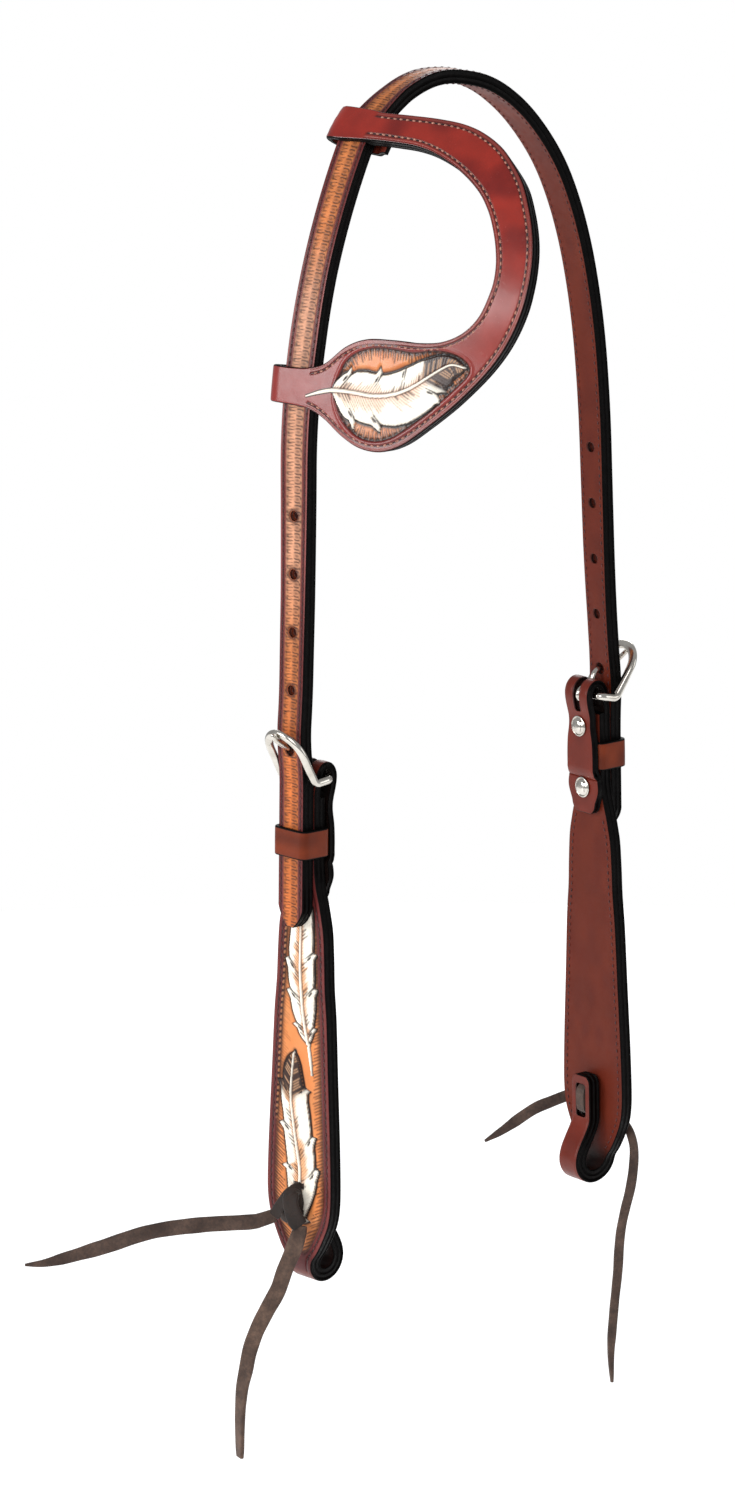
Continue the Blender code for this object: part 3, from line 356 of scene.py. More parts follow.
class CheekPath:
    def __init__(self):
        p, marks = [], {}
        chape = lambda z: (-6.4 - 1.75 * smoothstep((z + 37.8) / 3.2)
                           - (ROLL_U - BAR_U - 8.15) * smoothstep((z + 12) / 12))
        for z in np.arange(-55.0, -1e-9, 0.5):
            p.append((float(chape(z)), z))
        marks["roll"] = len(p)
        for k in range(25):
            a = math.radians(180 - 180 * k / 24)
            p.append((BAR_U + ROLL_U * math.cos(a), ROLL_Z * math.sin(a)))
        marks["front"] = len(p)
        z = -0.5
        while z > -FOLD_AT:
            p.append((BAR_U + ROLL_U + (-3.25 - BAR_U - ROLL_U) * float(smoothstep(-z / 8)), z))
            z -= 0.5
        marks["fold"] = len(p)
        for k in range(53):
            a = math.radians(-180 * k / 52)
            p.append((-3.25 - FOLD_R + FOLD_R * math.cos(a), -FOLD_AT + FOLD_R * math.sin(a)))
        marks["tab"] = len(p)
        z = -FOLD_AT + 0.5
        while z < -TAB_END + 1e-9:
            p.append((-3.25 - 2 * FOLD_R + (2 * FOLD_R - 6.85) * float(smoothstep((z + FOLD_AT) / 20.0)), z))
            z += 0.5
        self.p = np.array(p)
        self.l = arc_lengths(self.p)
        d = self.p[np.minimum(np.arange(len(p)) + 1, len(p) - 1)] - self.p[np.maximum(np.arange(len(p)) - 1, 0)]
        self.d = d / np.linalg.norm(d, axis=1)[:, None]
        self.first = dict(marks, start=0, end=len(p))

    def station(self, branch, below):
        names = ["start", "roll", "front", "fold", "tab", "end"]
        lo, hi = self.first[branch], self.first[names[names.index(branch) + 1]]
        return float(self.l[lo + int(np.argmin(np.abs(self.p[lo:hi, 1] + below)))])

    def span(self, branch):
        names = ["start", "roll", "front", "fold", "tab", "end"]
        return (float(self.l[self.first[branch]]),
                float(self.l[self.first[names[names.index(branch) + 1]] - 1]))

    def at(self, l, h):
        u, z = np.interp(l, self.l, self.p[:, 0]), np.interp(l, self.l, self.p[:, 1])
        du, dz = np.interp(l, self.l, self.d[:, 0]), np.interp(l, self.l, self.d[:, 1])
        n = np.hypot(du, dz)
        return u - h * dz / n, z + h * du / n

    def below(self, l):
        return -np.interp(l, self.l, self.p[:, 1])


CHEEK = CheekPath()


class Leg:
    def __init__(self, side):
        self.side = side
        self.hand = 1 if side == "near" else -1
        sign = -1 if side == "near" else 1
        station, bar = (347.0, NEAR_BAR) if side == "near" else (346.5, FAR_BAR)
        point, out, ahead, down = strap_frame(np.array(sign * station))
        self.origin = point - out * GAP - down * bar
        self.out, self.y, self.up = out, ahead * self.hand, -down
        hole = strap_frame(np.array(sign * (NEAR_TONGUE_HOLE if side == "near" else FAR_TONGUE_HOLE)))[0]
        rel = hole - self.origin
        self.hole = (float(rel @ out), float(-(rel @ down)))
        self.sag = 0.0 if side == "near" else FAR_BUCKLE_SAG

    def place(self, u, v, z):
        """Outward, forward, up from the leg's origin; forward is the same way on both legs."""
        u, v, z = (np.asarray(c, float)[..., None] for c in (u, v, z))
        return self.origin + self.out * u + self.y * (v * self.hand) + self.up * z

    def on_cheek(self, l, v, h):
        u, z = CHEEK.at(np.asarray(l, float), np.asarray(h, float))
        return self.place(u, v, z)


LEGS = {"near": Leg("near"), "far": Leg("far")}

# -------------------------------------------------------------- mesh making


def make_mesh(name, verts, quads, tris=None, paint=None, mask=None, slots=None, mats=(), flip=None,
              sharp=None):
    """Object from arrays in millimetres; quads and tris index the points."""
    mesh = bpy.data.meshes.new(name)
    verts = np.asarray(verts, float) * MM
    quads = np.asarray(quads, np.int32).reshape(-1, 4)
    tris = np.asarray(tris if tris is not None else [], np.int32).reshape(-1, 3)
    if flip is None:
        vol = 0.0
        for f in (quads[:, [0, 1, 2]], quads[:, [0, 2, 3]], tris):
            if len(f):
                a, b, c = verts[f[:, 0]], verts[f[:, 1]], verts[f[:, 2]]
                vol += float((a * np.cross(b, c)).sum())
        flip = vol < 0
    if flip:
        quads, tris = quads[:, ::-1], tris[:, ::-1]
    mesh.vertices.add(len(verts))
    mesh.vertices.foreach_set("co", verts.astype(np.float32).ravel())
    loops = np.concatenate([quads.ravel(), tris.ravel()])
    starts = np.concatenate([np.arange(len(quads)) * 4, len(quads) * 4 + np.arange(len(tris)) * 3])
    mesh.loops.add(len(loops))
    mesh.loops.foreach_set("vertex_index", loops.astype(np.int32))
    mesh.polygons.add(len(starts))
    mesh.polygons.foreach_set("loop_start", starts.astype(np.int32))
    if slots is not None:
        mesh.polygons.foreach_set("material_index", np.asarray(slots, np.int32))
    mesh.update(calc_edges=True)
    mesh.validate()
    for label, values in (("paint", paint), ("mask", mask)):
        if values is not None:
            layer = mesh.color_attributes.new(name=label, type="FLOAT_COLOR", domain="POINT")
            rgba = np.ones((len(verts), 4), np.float32)
            rgba[:, :3] = values
            layer.data.foreach_set("color", rgba.ravel())
    for m in mats:
        mesh.materials.append(m)
    mesh.shade_smooth()
    if sharp:
        mesh.set_sharp_from_angle(angle=math.radians(sharp))
    ob = bpy.data.objects.new(name, mesh)
    bpy.context.scene.collection.objects.link(ob)
    return ob


def grid_quads(index):
    """Quads of a grid of vertex indices."""
    a, b, c, d = index[:-1, :-1], index[1:, :-1], index[1:, 1:], index[:-1, 1:]
    return np.stack([a, b, c, d], -1).reshape(-1, 4)


RIM = np.array([0.0, 0.07, 0.18, 0.34, 0.56, 0.85])


def ribbon(name, left, right, place, h0, h1, inner_cols, gap=None, end=None, relief=None,
           painter=None, mats=(), rnd=0.62, back_rnd=0.07, edge_slots=True):
    """Leather layer between two rims on the flat.

    left, right: rims row by row.  gap: half of an opening along the middle.
    end: distance of each row from the nearest cut end.  relief and painter are
    given flat x, y and the distance from the outline.
    """
    left, right = np.asarray(left, float), np.asarray(right, float)
    n = len(left)
    gap = np.zeros(n) if gap is None else np.asarray(gap, float)
    end = np.full(n, 1e3) if end is None else np.asarray(end, float)
    mid = (left + right) / 2
    span = np.linalg.norm(right - left, axis=1)
    unit = (right - left) / np.maximum(span, 1e-9)[:, None]
    verts, paints, masks = [], [], []
    count = 0

    def add(points, paint, mask):
        nonlocal count
        verts.append(points.reshape(-1, 3))
        paints.append(np.broadcast_to(paint, points.shape).reshape(-1, 3))
        masks.append(np.broadcast_to(mask, points.shape).reshape(-1, 3))
        index = np.arange(count, count + points.reshape(-1, 3).shape[0]).reshape(points.shape[:2])
        count += index.size
        return index

    quads, slot = [], []
    shared = gap < 1e-6
    tops, lows = [], []
    for rim, sgn in ((left, 1.0), (right, -1.0)):
        width = np.maximum(span / 2 - gap, 1e-4)
        scale = np.minimum(1.0, width / 2.2)[:, None]
        rimcols = RIM[None, :] * scale
        f = np.linspace(0, 1, inner_cols + 1)[1:-1]
        rest0, rest1 = RIM[-1] * scale, width[:, None] - 0.3 * scale
        inner = rest0 + (rest1 - rest0) * f[None, :]
        off = np.concatenate([rimcols, inner, rest1, width[:, None]], 1)
        d_rim = np.minimum(off, end[:, None])
        d_hole = np.where(shared[:, None], 1e3, width[:, None] - off)
        x = rim[:, None, 0] + sgn * unit[:, None, 0] * off
        y = rim[:, None, 1] + sgn * unit[:, None, 1] * off
        r1 = rnd * np.ones_like(off)
        drop = r1 - np.sqrt(np.maximum(r1 ** 2 - (r1 - np.minimum(d_rim, r1)) ** 2, 0))
        r2 = 0.35
        drop2 = r2 - np.sqrt(np.maximum(r2 ** 2 - (r2 - np.minimum(d_hole, r2)) ** 2, 0))
        h = h1 - drop - np.where(d_hole < r2, drop2, 0)
        d_all = np.minimum(d_rim, d_hole)
        if relief is not None:
            h = h + relief(x, y, d_all) * ramp(d_all, 0.35, 0.95)
        col, msk = painter(x, y, d_all)
        top = add(place(x, y, h), col, msk)
        lowoff = np.concatenate([0 * width[:, None], 0.12 * scale, 0.4 * scale, width[:, None] * 0.5,
                                 width[:, None]], 1)
        lx = rim[:, None, 0] + sgn * unit[:, None, 0] * lowoff
        ly = rim[:, None, 1] + sgn * unit[:, None, 1] * lowoff
        ld = np.minimum(lowoff, end[:, None])
        lh = h0 + back_rnd * np.clip(1 - ld / 0.4, 0, 1) ** 2
        lcol, lmsk = painter(lx, ly, np.full(lx.shape, -1.0))
        low = add(place(lx, ly, lh), lcol, lmsk)
        tops.append(top)
        lows.append(low)
    for grid in (tops, lows):
        grid[1][shared, -1] = grid[0][shared, -1]
    edge = 1 if edge_slots else 0
    for which in (0, 1):
        top, low = tops[which], lows[which]
        turn = which == 1
        for grid, rev, front in ((top, False, True), (low, True, False)):
            q = grid_quads(grid)
            if rev != turn:
                q = q[:, ::-1]
            quads.append(q)
            s = np.zeros((grid.shape[0] - 1, grid.shape[1] - 1), int)
            if front:
                s[:, :3] = edge
                close = np.minimum(end[1:], end[:-1]) < 0.3
                s[close, :] = edge
            else:
                s[:, :2] = edge
            slot.append(s.ravel())
        wall = np.stack([top[:-1, 0], low[:-1, 0], low[1:, 0], top[1:, 0]], -1)
        quads.append(wall if turn else wall[:, ::-1])
        slot.append(np.full(len(wall), edge))
        rows = ~(shared[:-1] & shared[1:])
        if rows.any():
            wall = np.stack([top[:-1, -1], low[:-1, -1], low[1:, -1], top[1:, -1]], -1)[rows]
            quads.append(wall[:, ::-1] if turn else wall)
            slot.append(np.zeros(len(wall), int))
    tris, tri_slot = [], []
    for row, rev in ((0, False), (n - 1, True)):
        for which in (0, 1):
            t, l = tops[which][row], lows[which][row]
            jt, jl = len(t) - 1, len(l) - 1
            i = j = 0
            while i < jt or j < jl:
                if j >= jl or (i < jt and (i + 1) / jt <= (j + 1) / jl):
                    tri = (t[i], t[i + 1], l[j])
                    i += 1
                else:
                    tri = (t[i], l[j + 1], l[j])
                    j += 1
                tris.append(tri if (rev == (which == 1)) else tri[::-1])
                tri_slot.append(edge)
    quads = np.concatenate(quads)
    slots = np.concatenate(slot + [np.array(tri_slot, int)])
    v = np.concatenate(verts)
    return make_mesh(name, v, quads, tris, np.concatenate(paints), np.concatenate(masks), slots, mats)


def sweep(name, centres, across, normal, half_w, half_t, mats, sides=16, power=2.0, closed=False,
          paint=None, sharp=None):
    """Tube with an oval or boxy section along a line of points."""
    c = np.asarray(centres, float)
    n = len(c)
    ang = 2 * math.pi * (np.arange(sides) + 0.5) / sides
    ca, sa = np.cos(ang), np.sin(ang)
    px = np.sign(ca) * np.abs(ca) ** (2 / power)
    py = np.sign(sa) * np.abs(sa) ** (2 / power)
    hw, ht = np.broadcast_to(half_w, n), np.broadcast_to(half_t, n)
    v = (c[:, None, :] + across[:, None, :] * (px[None, :] * hw[:, None])[..., None]
         + normal[:, None, :] * (py[None, :] * ht[:, None])[..., None])
    idx = np.arange(n * sides).reshape(n, sides)
    wrap = np.concatenate([idx, idx[:, :1]], 1)
    if closed:
        wrap = np.concatenate([wrap, wrap[:1]], 0)
    quads = grid_quads(wrap)
    verts = v.reshape(-1, 3)
    tris = []
    if not closed:
        verts = np.concatenate([verts, c[:1], c[-1:]])
        a, b = n * sides, n * sides + 1
        for k in range(sides):
            m = (k + 1) % sides
            tris.append((a, idx[0, k], idx[0, m]))
            tris.append((b, idx[-1, m], idx[-1, k]))
    return make_mesh(name, verts, quads, tris, paint=paint, mats=mats, sharp=sharp)


# ------------------------------------------------------------------ materials


class Nodes:
    def __init__(self, name):
        self.mat = bpy.data.materials.new(name)
        self.mat.use_nodes = True
        self.tree = self.mat.node_tree
        self.shader = self.tree.nodes["Principled BSDF"]
        self.x = -200

    def add(self, kind, **values):
        node = self.tree.nodes.new(kind)
        self.x -= 160
        node.location = (self.x, 0)
        for key, value in values.items():
            setattr(node, key, value)
        return node

    def link(self, a, b):
        self.tree.links.new(a, b)

    def noise(self, scale, detail=3.0, rough=0.55, stretch=None):
        coord = self.add("ShaderNodeTexCoord")
        source = coord.outputs["Object"]
        if stretch:
            mapping = self.add("ShaderNodeMapping")
            mapping.inputs["Scale"].default_value = stretch
            self.link(source, mapping.inputs["Vector"])
            source = mapping.outputs["Vector"]
        node = self.add("ShaderNodeTexNoise")
        node.inputs["Scale"].default_value = scale
        node.inputs["Detail"].default_value = detail
        node.inputs["Roughness"].default_value = rough
        self.link(source, node.inputs["Vector"])
        return node.outputs["Fac"]

    def range(self, source, a, b, c, d):
        node = self.add("ShaderNodeMapRange")
        for key, value in zip(("From Min", "From Max", "To Min", "To Max"), (a, b, c, d)):
            node.inputs[key].default_value = value
        self.link(source, node.inputs["Value"])
        return node.outputs["Result"]

    def math(self, op, a, b):
        node = self.add("ShaderNodeMath", operation=op)
        for k, v in enumerate((a, b)):
            if isinstance(v, (int, float)):
                node.inputs[k].default_value = v
            else:
                self.link(v, node.inputs[k])
        return node.outputs[0]

    def attribute(self, name):
        node = self.add("ShaderNodeAttribute", attribute_name=name)
        return node

    def mix(self, factor, a, b, blend="MIX"):
        node = self.add("ShaderNodeMix", data_type="RGBA", blend_type=blend)
        node.inputs[0].default_value = 1.0
        if isinstance(factor, (int, float)):
            node.inputs[0].default_value = factor
        else:
            self.link(factor, node.inputs[0])
        for slot, v in ((6, a), (7, b)):
            if isinstance(v, (tuple, list, np.ndarray)):
                node.inputs[slot].default_value = (*[float(c) for c in v], 1.0)
            else:
                self.link(v, node.inputs[slot])
        return node.outputs[2]

    def bump(self, height, strength, distance):
        node = self.add("ShaderNodeBump")
        node.inputs["Strength"].default_value = strength
        node.inputs["Distance"].default_value = distance
        self.link(height, node.inputs["Height"])
        self.link(node.outputs["Normal"], self.shader.inputs["Normal"])


def painted_leather(name, rough, coat, bump, gloss):
    """Leather whose stain, with some painted shade and highlights, is laid on the flat pattern, with grain and wear."""
    n = Nodes(name)
    paint = n.attribute("paint").outputs["Color"]
    mask = n.add("ShaderNodeSeparateColor")
    n.link(n.attribute("mask").outputs["Color"], mask.inputs[0])
    cloud = n.noise(55.0, 3.0)
    fine = n.noise(1500.0, 2.0)
    shade = n.math("ADD", n.range(cloud, 0.3, 0.7, 0.90, 1.10), n.range(fine, 0.3, 0.7, -0.05, 0.05))
    tone = n.add("ShaderNodeCombineColor")
    for k in range(3):
        n.link(shade, tone.inputs[k])
    n.link(n.mix(1.0, paint, tone.outputs[0], "MULTIPLY"), n.shader.inputs["Base Color"])
    smooth = n.range(n.noise(260.0, 3.0), 0.3, 0.7, rough[0], rough[1])
    n.link(n.math("MAXIMUM", n.math("SUBTRACT", smooth, n.math("MULTIPLY", mask.outputs[1], 0.08)), 0.12),
           n.shader.inputs["Roughness"])
    n.shader.inputs["Coat Weight"].default_value = coat
    n.shader.inputs["Coat Roughness"].default_value = 0.3
    n.shader.inputs["Specular IOR Level"].default_value = gloss
    pores = n.noise(1900.0, 2.0)
    n.bump(n.math("ADD", n.math("MULTIPLY", fine, 0.6), n.math("MULTIPLY", pores, 0.4)), bump, 0.00012)
    return n.mat


def burnished_edge(name="burnished_edge"):
    """Black, slicked leather edge with faint fibres."""
    n = Nodes(name)
    cloud = n.noise(420.0, 3.0)
    n.link(n.mix(n.range(cloud, 0.35, 0.7, 0, 1), lin(4, 3, 3), lin(12, 9, 9)),
           n.shader.inputs["Base Color"])
    n.link(n.range(n.noise(700.0), 0.3, 0.7, 0.44, 0.60), n.shader.inputs["Roughness"])
    n.shader.inputs["Specular IOR Level"].default_value = 0.06
    n.bump(n.noise(900.0, 3.0), 0.3, 0.0002)
    return n.mat


def nickel(name, base=(214, 210, 202)):
    n = Nodes(name)
    cloud = n.noise(180.0, 4.0)
    n.link(n.mix(n.range(cloud, 0.35, 0.75, 0, 1), lin(*base), lin(186, 180, 170)),
           n.shader.inputs["Base Color"])
    n.shader.inputs["Metallic"].default_value = 1.0
    n.link(n.range(n.noise(420.0, 4.0), 0.3, 0.75, 0.10, 0.24), n.shader.inputs["Roughness"])
    n.bump(n.noise(160.0, 3.0), 0.12, 0.0002)
    return n.mat


def suede(name, low, high):
    """Oil-tanned lace with a napped face and rubbed spots."""
    n = Nodes(name)
    fibre = n.noise(620.0, 4.0, 0.65)
    cloud = n.noise(110.0, 3.0)
    base = n.mix(n.range(cloud, 0.3, 0.7, 0, 1), low, high)
    speck = n.range(fibre, 0.35, 0.65, 0.72, 1.28)
    tone = n.add("ShaderNodeCombineColor")
    for k in range(3):
        n.link(speck, tone.inputs[k])
    n.link(n.mix(1.0, base, tone.outputs[0], "MULTIPLY"), n.shader.inputs["Base Color"])
    n.link(n.range(fibre, 0.3, 0.7, 0.62, 0.88), n.shader.inputs["Roughness"])
    n.shader.inputs["Specular IOR Level"].default_value = 0.3
    n.shader.inputs["Sheen Weight"].default_value = 0.12
    n.bump(fibre, 0.55, 0.0004)
    return n.mat


def thread(name, colour, dark):
    n = Nodes(name)
    twist = n.noise(1400.0, 2.0)
    n.link(n.mix(n.range(twist, 0.35, 0.65, 0, 1), lin(*dark), lin(*colour)),
           n.shader.inputs["Base Color"])
    n.shader.inputs["Roughness"].default_value = 0.62
    n.bump(twist, 0.5, 0.0002)
    return n.mat


TOOLED = painted_leather("tooled_leather", (0.36, 0.50), 0.08, 0.35, 0.17)
SMOOTH = painted_leather("smooth_leather", (0.26, 0.36), 0.30, 0.2, 0.24)
BACKING = painted_leather("lining_leather", (0.42, 0.56), 0.0, 0.3, 0.12)
EDGE = burnished_edge()
NICKEL = nickel("polished_nickel")
LACE = suede("oiled_lace", lin(54, 40, 34), lin(84, 66, 57))
LACE_WARM = suede("oiled_lace_warm", lin(58, 43, 36), lin(98, 77, 65))
LACE_DARK = suede("oiled_lace_dark", lin(21, 15, 13), lin(46, 35, 30))
BEIGE = thread("beige_thread", (196, 142, 122), (124, 72, 60))
BROWN = thread("brown_thread", (92, 34, 34), (36, 14, 15))
# the stitch holes are dark lenses in a thread material: painted shadow in the holes
HOLE_SHADOW = thread("stitch_hole_shadow", (20, 8, 7), (8, 3, 3))


def finish_piece(ob, body, nodes=(), slot=None):
    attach(ob, body)
    if nodes:
        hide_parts(*nodes)
    slot or nodes[0]
    return ob


# ----------------------------------------------------------------- lace cords


def lace(name, leg, route, widths, faces, thick, mat, node):
    """Flat strip along its route; widths and face directions are given at shares of it."""
    line = smooth_line(route, 12)
    world = leg.place(line[:, 0], line[:, 1], line[:, 2])
    # even rings, about 1.6 mm apart
    total = arc_lengths(world)[-1]
    count = int(round(total / 1.6))
    world = along(world, np.linspace(0, total, count + 1))
    share = np.linspace(0, 1, count + 1)
    tangent = np.gradient(world, axis=0)
    tangent /= np.linalg.norm(tangent, axis=1)[:, None]
    f = np.array([[a, *d] for a, d in faces], float)
    want = np.stack([np.interp(share, f[:, 0], f[:, k]) for k in (1, 2, 3)], 1)
    want -= (want * tangent).sum(1)[:, None] * tangent
    normal = want / np.linalg.norm(want, axis=1)[:, None]
    across = np.cross(tangent, normal)
    w = np.array(widths, float)
    half = np.interp(share, w[:, 0], w[:, 1]) / 2
    # cut edges wander a little, and the strip cups slightly
    wander = 0.07 * np.sin(share * total / 5.3 + 1.0) + 0.04 * np.sin(share * total / 1.9 + 2.0)
    sides = 20
    ang = 2 * math.pi * (np.arange(sides) + 0.5) / sides
    ca, sa = np.cos(ang), np.sin(ang)
    px = np.sign(ca) * np.abs(ca) ** 0.42
    py = np.sign(sa) * np.abs(sa) ** 0.55
    t = np.interp(share, [0, 0.03, 0.97, 1], [thick * 0.6, thick, thick, thick * 0.8]) / 2
    cup = 0.06 * half
    off_w = px[None, :] * (half + wander * np.minimum(1, half / 3))[:, None]
    off_t = py[None, :] * t[:, None] + (px[None, :] ** 2) * cup[:, None] - 0.5 * cup[:, None]
    v = world[:, None, :] + across[:, None, :] * off_w[..., None] + normal[:, None, :] * off_t[..., None]
    n = count + 1
    idx = np.arange(n * sides).reshape(n, sides)
    quads = grid_quads(np.concatenate([idx, idx[:, :1]], 1))
    verts = np.concatenate([v.reshape(-1, 3), world[:1], world[-1:]])
    tris = []
    for k in range(sides):
        m = (k + 1) % sides
        tris += [(n * sides, idx[0, k], idx[0, m]), (n * sides + 1, idx[-1, m], idx[-1, k])]
    ob = make_mesh(name, verts, quads, tris, mats=[mat], sharp=50)
    finish_piece(ob, "headstall", [node])
    [[float(c) for c in p] for p in world * MM]
    return ob


near, far = LEGS["near"], LEGS["far"]
lace("near_lace_a", near, NEAR_TAIL_A, [(0, 5.8), (0.12, 6.9), (0.72, 6.6), (0.86, 5.0), (0.97, 2.2), (1, 1.2)],
     [(0, (-0.55, -0.8, 0.35)), (0.5, (-0.62, -0.72, 0.25)), (1, (-0.5, -0.8, 0.4))], 2.1, LACE,
     "near_lace_tail_a")
lace("near_lace_b", near, NEAR_TAIL_B, [(0, 6.0), (0.08, 7.4), (0.45, 7.0), (0.7, 6.4), (1, 5.4)],
     [(0, (-0.75, -0.6, 0.2)), (0.45, (-0.7, -0.7, 0.1)), (0.75, (-0.95, -0.1, 0.0)), (1, (-0.98, 0.25, 0.0))],
     2.3, LACE_WARM, "near_lace_tail_b")
lace("far_lace_c", far, FAR_TAIL_C, [(0, 5.0), (0.3, 5.4), (0.75, 5.2), (0.9, 3.2), (1, 1.3)],
     [(0, (0.7, -0.6, 0.2)), (0.4, (0.2, -0.95, 0.25)), (1, (-0.4, -0.85, 0.35))], 1.9, LACE,
     "far_lace_tail_a")
lace("far_lace_d", far, FAR_TAIL_D, [(0, 3.2), (0.06, 3.8), (0.2, 4.4), (0.6, 4.4), (0.84, 4.0), (0.96, 2.2), (1, 1.2)],
     [(0, (0.7, 0.6, 0.2)), (0.12, (0.8, 0.5, 0.3)), (0.3, (0.75, 0.6, 0.0)), (0.6, (0.55, 0.85, 0.0)),
      (1, (0.3, 0.95, 0.0))], 2.2, LACE, "far_lace_tail_b")

# ------------------------------------------------------------------ stitching


def stitches(name, runs, place, mats, body, slot, length=2.5, radius=0.34, sink=0.36, pitch=3.5, hole=0.62):
    """Lock stitches with the holes they sink into, each hole a dark lens that paints its shadow.  runs: lines on the
    flat with a height.
    """
    vs, qs, ts, sl, tri_kinds = [], [], [], [], []
    count = 0
    for line, height in runs:
        total = arc_lengths(line)[-1]
        n = max(1, int(total / pitch))
        at = (np.arange(n) + 0.5) * (total / n)
        for kind in (0, 1) if hole else (0,):
            half = length / 2 if kind == 0 else hole * 1.15
            centre = at if kind == 0 else np.concatenate([at - total / n / 2, [total - 0.6]])
            a = along(line, np.clip(centre - half, 0, total))
            b = along(line, np.clip(centre + half, 0, total))
            m = (a + b) / 2
            pa, pb = place(a[:, 0], a[:, 1], np.full(len(a), height)), place(b[:, 0], b[:, 1], np.full(len(b), height))
            pm = place(m[:, 0], m[:, 1], np.full(len(m), height))
            up = place(m[:, 0], m[:, 1], np.full(len(m), height + 1.0)) - pm
            up /= np.linalg.norm(up, axis=1)[:, None]
            d = pb - pa
            d /= np.maximum(np.linalg.norm(d, axis=1), 1e-6)[:, None]
            side = np.cross(d, up)
            if kind == 0:
                t = np.array([0.0, 0.1, 0.3, 0.5, 0.7, 0.9, 1.0])
                r = radius * np.array([0.05, 0.72, 0.97, 1.0, 0.97, 0.72, 0.05])
                lift = np.array([-0.30, -0.14, 0.02, 0.07, 0.02, -0.14, -0.30]) - sink + radius * 0.75
                sides = 6
                flat = 0.85
            else:
                # a hole: a flat dark lens that paints the shadow inside it
                t = np.array([0.0, 0.2, 0.5, 0.8, 1.0])
                r = hole * np.array([0.05, 0.75, 1.0, 0.75, 0.05])
                lift = np.zeros(5) - 0.27
                sides = 6
                flat = 0.2
            ang = 2 * math.pi * np.arange(sides) / sides
            base = pa[:, None, :] + (pb - pa)[:, None, :] * t[None, :, None] + up[:, None, :] * lift[None, :, None]
            v = (base[:, :, None, :]
                 + side[:, None, None, :] * (r[:, None] * np.cos(ang)[None, :])[None, :, :, None]
                 + up[:, None, None, :] * (flat * r[:, None] * np.sin(ang)[None, :])[None, :, :, None])
            k, rings = len(a), len(t)
            idx = count + np.arange(k * rings * sides).reshape(k, rings, sides)
            wrap = np.concatenate([idx, idx[:, :, :1]], 2)
            q = np.stack([wrap[:, :-1, :-1], wrap[:, 1:, :-1], wrap[:, 1:, 1:], wrap[:, :-1, 1:]], -1)
            vs.append(v.reshape(-1, 3))
            qs.append(q.reshape(-1, 4))
            sl.append(np.full(q.size // 4, kind))
            for end, order in ((0, -1), (rings - 1, 1)):
                ring = idx[:, end, ::order]
                for j in range(1, sides - 1):
                    ts.append(np.stack([ring[:, 0], ring[:, j], ring[:, j + 1]], -1))
                    tri_kinds.append(np.full(k, kind))
            count += k * rings * sides
    ob = make_mesh(name, np.concatenate(vs), np.concatenate(qs), np.concatenate(ts),
                   slots=np.concatenate(sl + tri_kinds), mats=mats)
    return finish_piece(ob, body, slot=slot)


# ---------------------------------------------------------------- colour notes
MAHOGANY = lin(112, 46, 44)
MAHOGANY_DARK = lin(76, 26, 28)
RED_BROWN = lin(150, 40, 28)
RED_DEEP = lin(108, 22, 18)
TAN = lin(216, 138, 84)
TAN_DEEP = lin(196, 104, 50)
INK = lin(22, 14, 14)
BROWN_INK = lin(58, 32, 26)
CREAM = lin(250, 244, 230)
ORANGE = lin(240, 160, 84)
LINING_C = lin(98, 36, 20)


def soft_line(d, width):
    return np.exp(-(d / width) ** 2)


# ---------------------------------------------------------------- crown strap
BAND = 4.35                 # half-width of the tooled band


STITCH_V = 6.05


def crown_marks(s, v):
    """Dark of the tool marks, from 0 to 1, and their depth in millimetres."""
    a = np.abs(s)
    band = ramp(BAND + 0.15 - np.abs(v), 0.0, 0.35)
    dark = np.zeros_like(s)
    deep = np.zeros_like(s)
    # fine strokes in from the rear border, of uneven length
    for seed, pitch, lo, hi, amp in ((1, 1.36, 3.0, 5.6, 1.0), (2, 2.05, 1.6, 3.4, 0.95)):
        u = (a + 0.05 * np.sin(v * 1.4 + 2.0 * seed) + 0.10 * v) / pitch
        k = np.floor(u)
        f = u - k - 0.5 + 0.22 * (hash01(k, seed) - 0.5)
        reach = lo + (hi - lo) * hash01(k, seed + 7)
        edge = -1.0
        fade = ramp(reach - (BAND - edge * v), -0.3, 1.6)
        thick = 0.30 + 0.12 * hash01(k, seed + 3)
        taper = 0.65 + 0.35 * (edge * v / BAND)
        line = soft_line(f * pitch, thick * taper) * fade
        dark = np.maximum(dark, line * amp * (0.6 + 0.4 * hash01(k, seed + 11)))
        deep = np.maximum(deep, line * 0.11)
    # a camouflage tool, struck every four millimetres: two crescents round a shaded hollow
    pitch = 4.1
    ds = a - (np.floor(a / pitch) + 0.5) * pitch
    dv = v - 1.9
    crescent = soft_line(np.abs(ds) - 1.45 + 0.09 * dv * dv, 0.44) * ramp(2.1 - np.abs(dv), 0.0, 0.8)
    hollow = np.exp(-(ds / 0.95) ** 2 - (dv / 1.7) ** 2)
    dark = np.maximum(dark, np.maximum(0.96 * crescent, 0.70 * hollow))
    deep = np.maximum(deep, np.maximum(0.2 * crescent, 0.16 * hollow))
    # bevelled stops along both borders
    for edge in (-1, 1):
        p2 = 3.4
        d2 = a - (np.floor(a / p2) + 0.5) * p2
        stop = np.exp(-(d2 / 1.0) ** 2) * ramp(edge * v, BAND - 2.0, BAND - 0.5)
        dark = np.maximum(dark, 0.9 * stop)
        deep = np.maximum(deep, 0.16 * stop)
        dark = np.maximum(dark, 0.6 * ramp(edge * v, BAND - 1.3, BAND - 0.1))
    return dark * band, deep * band


def crown_relief(s, v, d):
    _, deep = crown_marks(s, v)
    band = ramp(BAND - np.abs(v), -0.25, 0.25)
    step = -0.16 * band
    bead = -0.20 * soft_line(np.abs(v) - BAND - 0.15, 0.2)
    channel = -0.20 * soft_line(np.abs(v) - STITCH_V, 0.5)
    swell = 0.08 * band * (value_noise(s / 2.1, v / 1.9, 5.0) - 0.5)
    return step - deep + bead + channel + swell


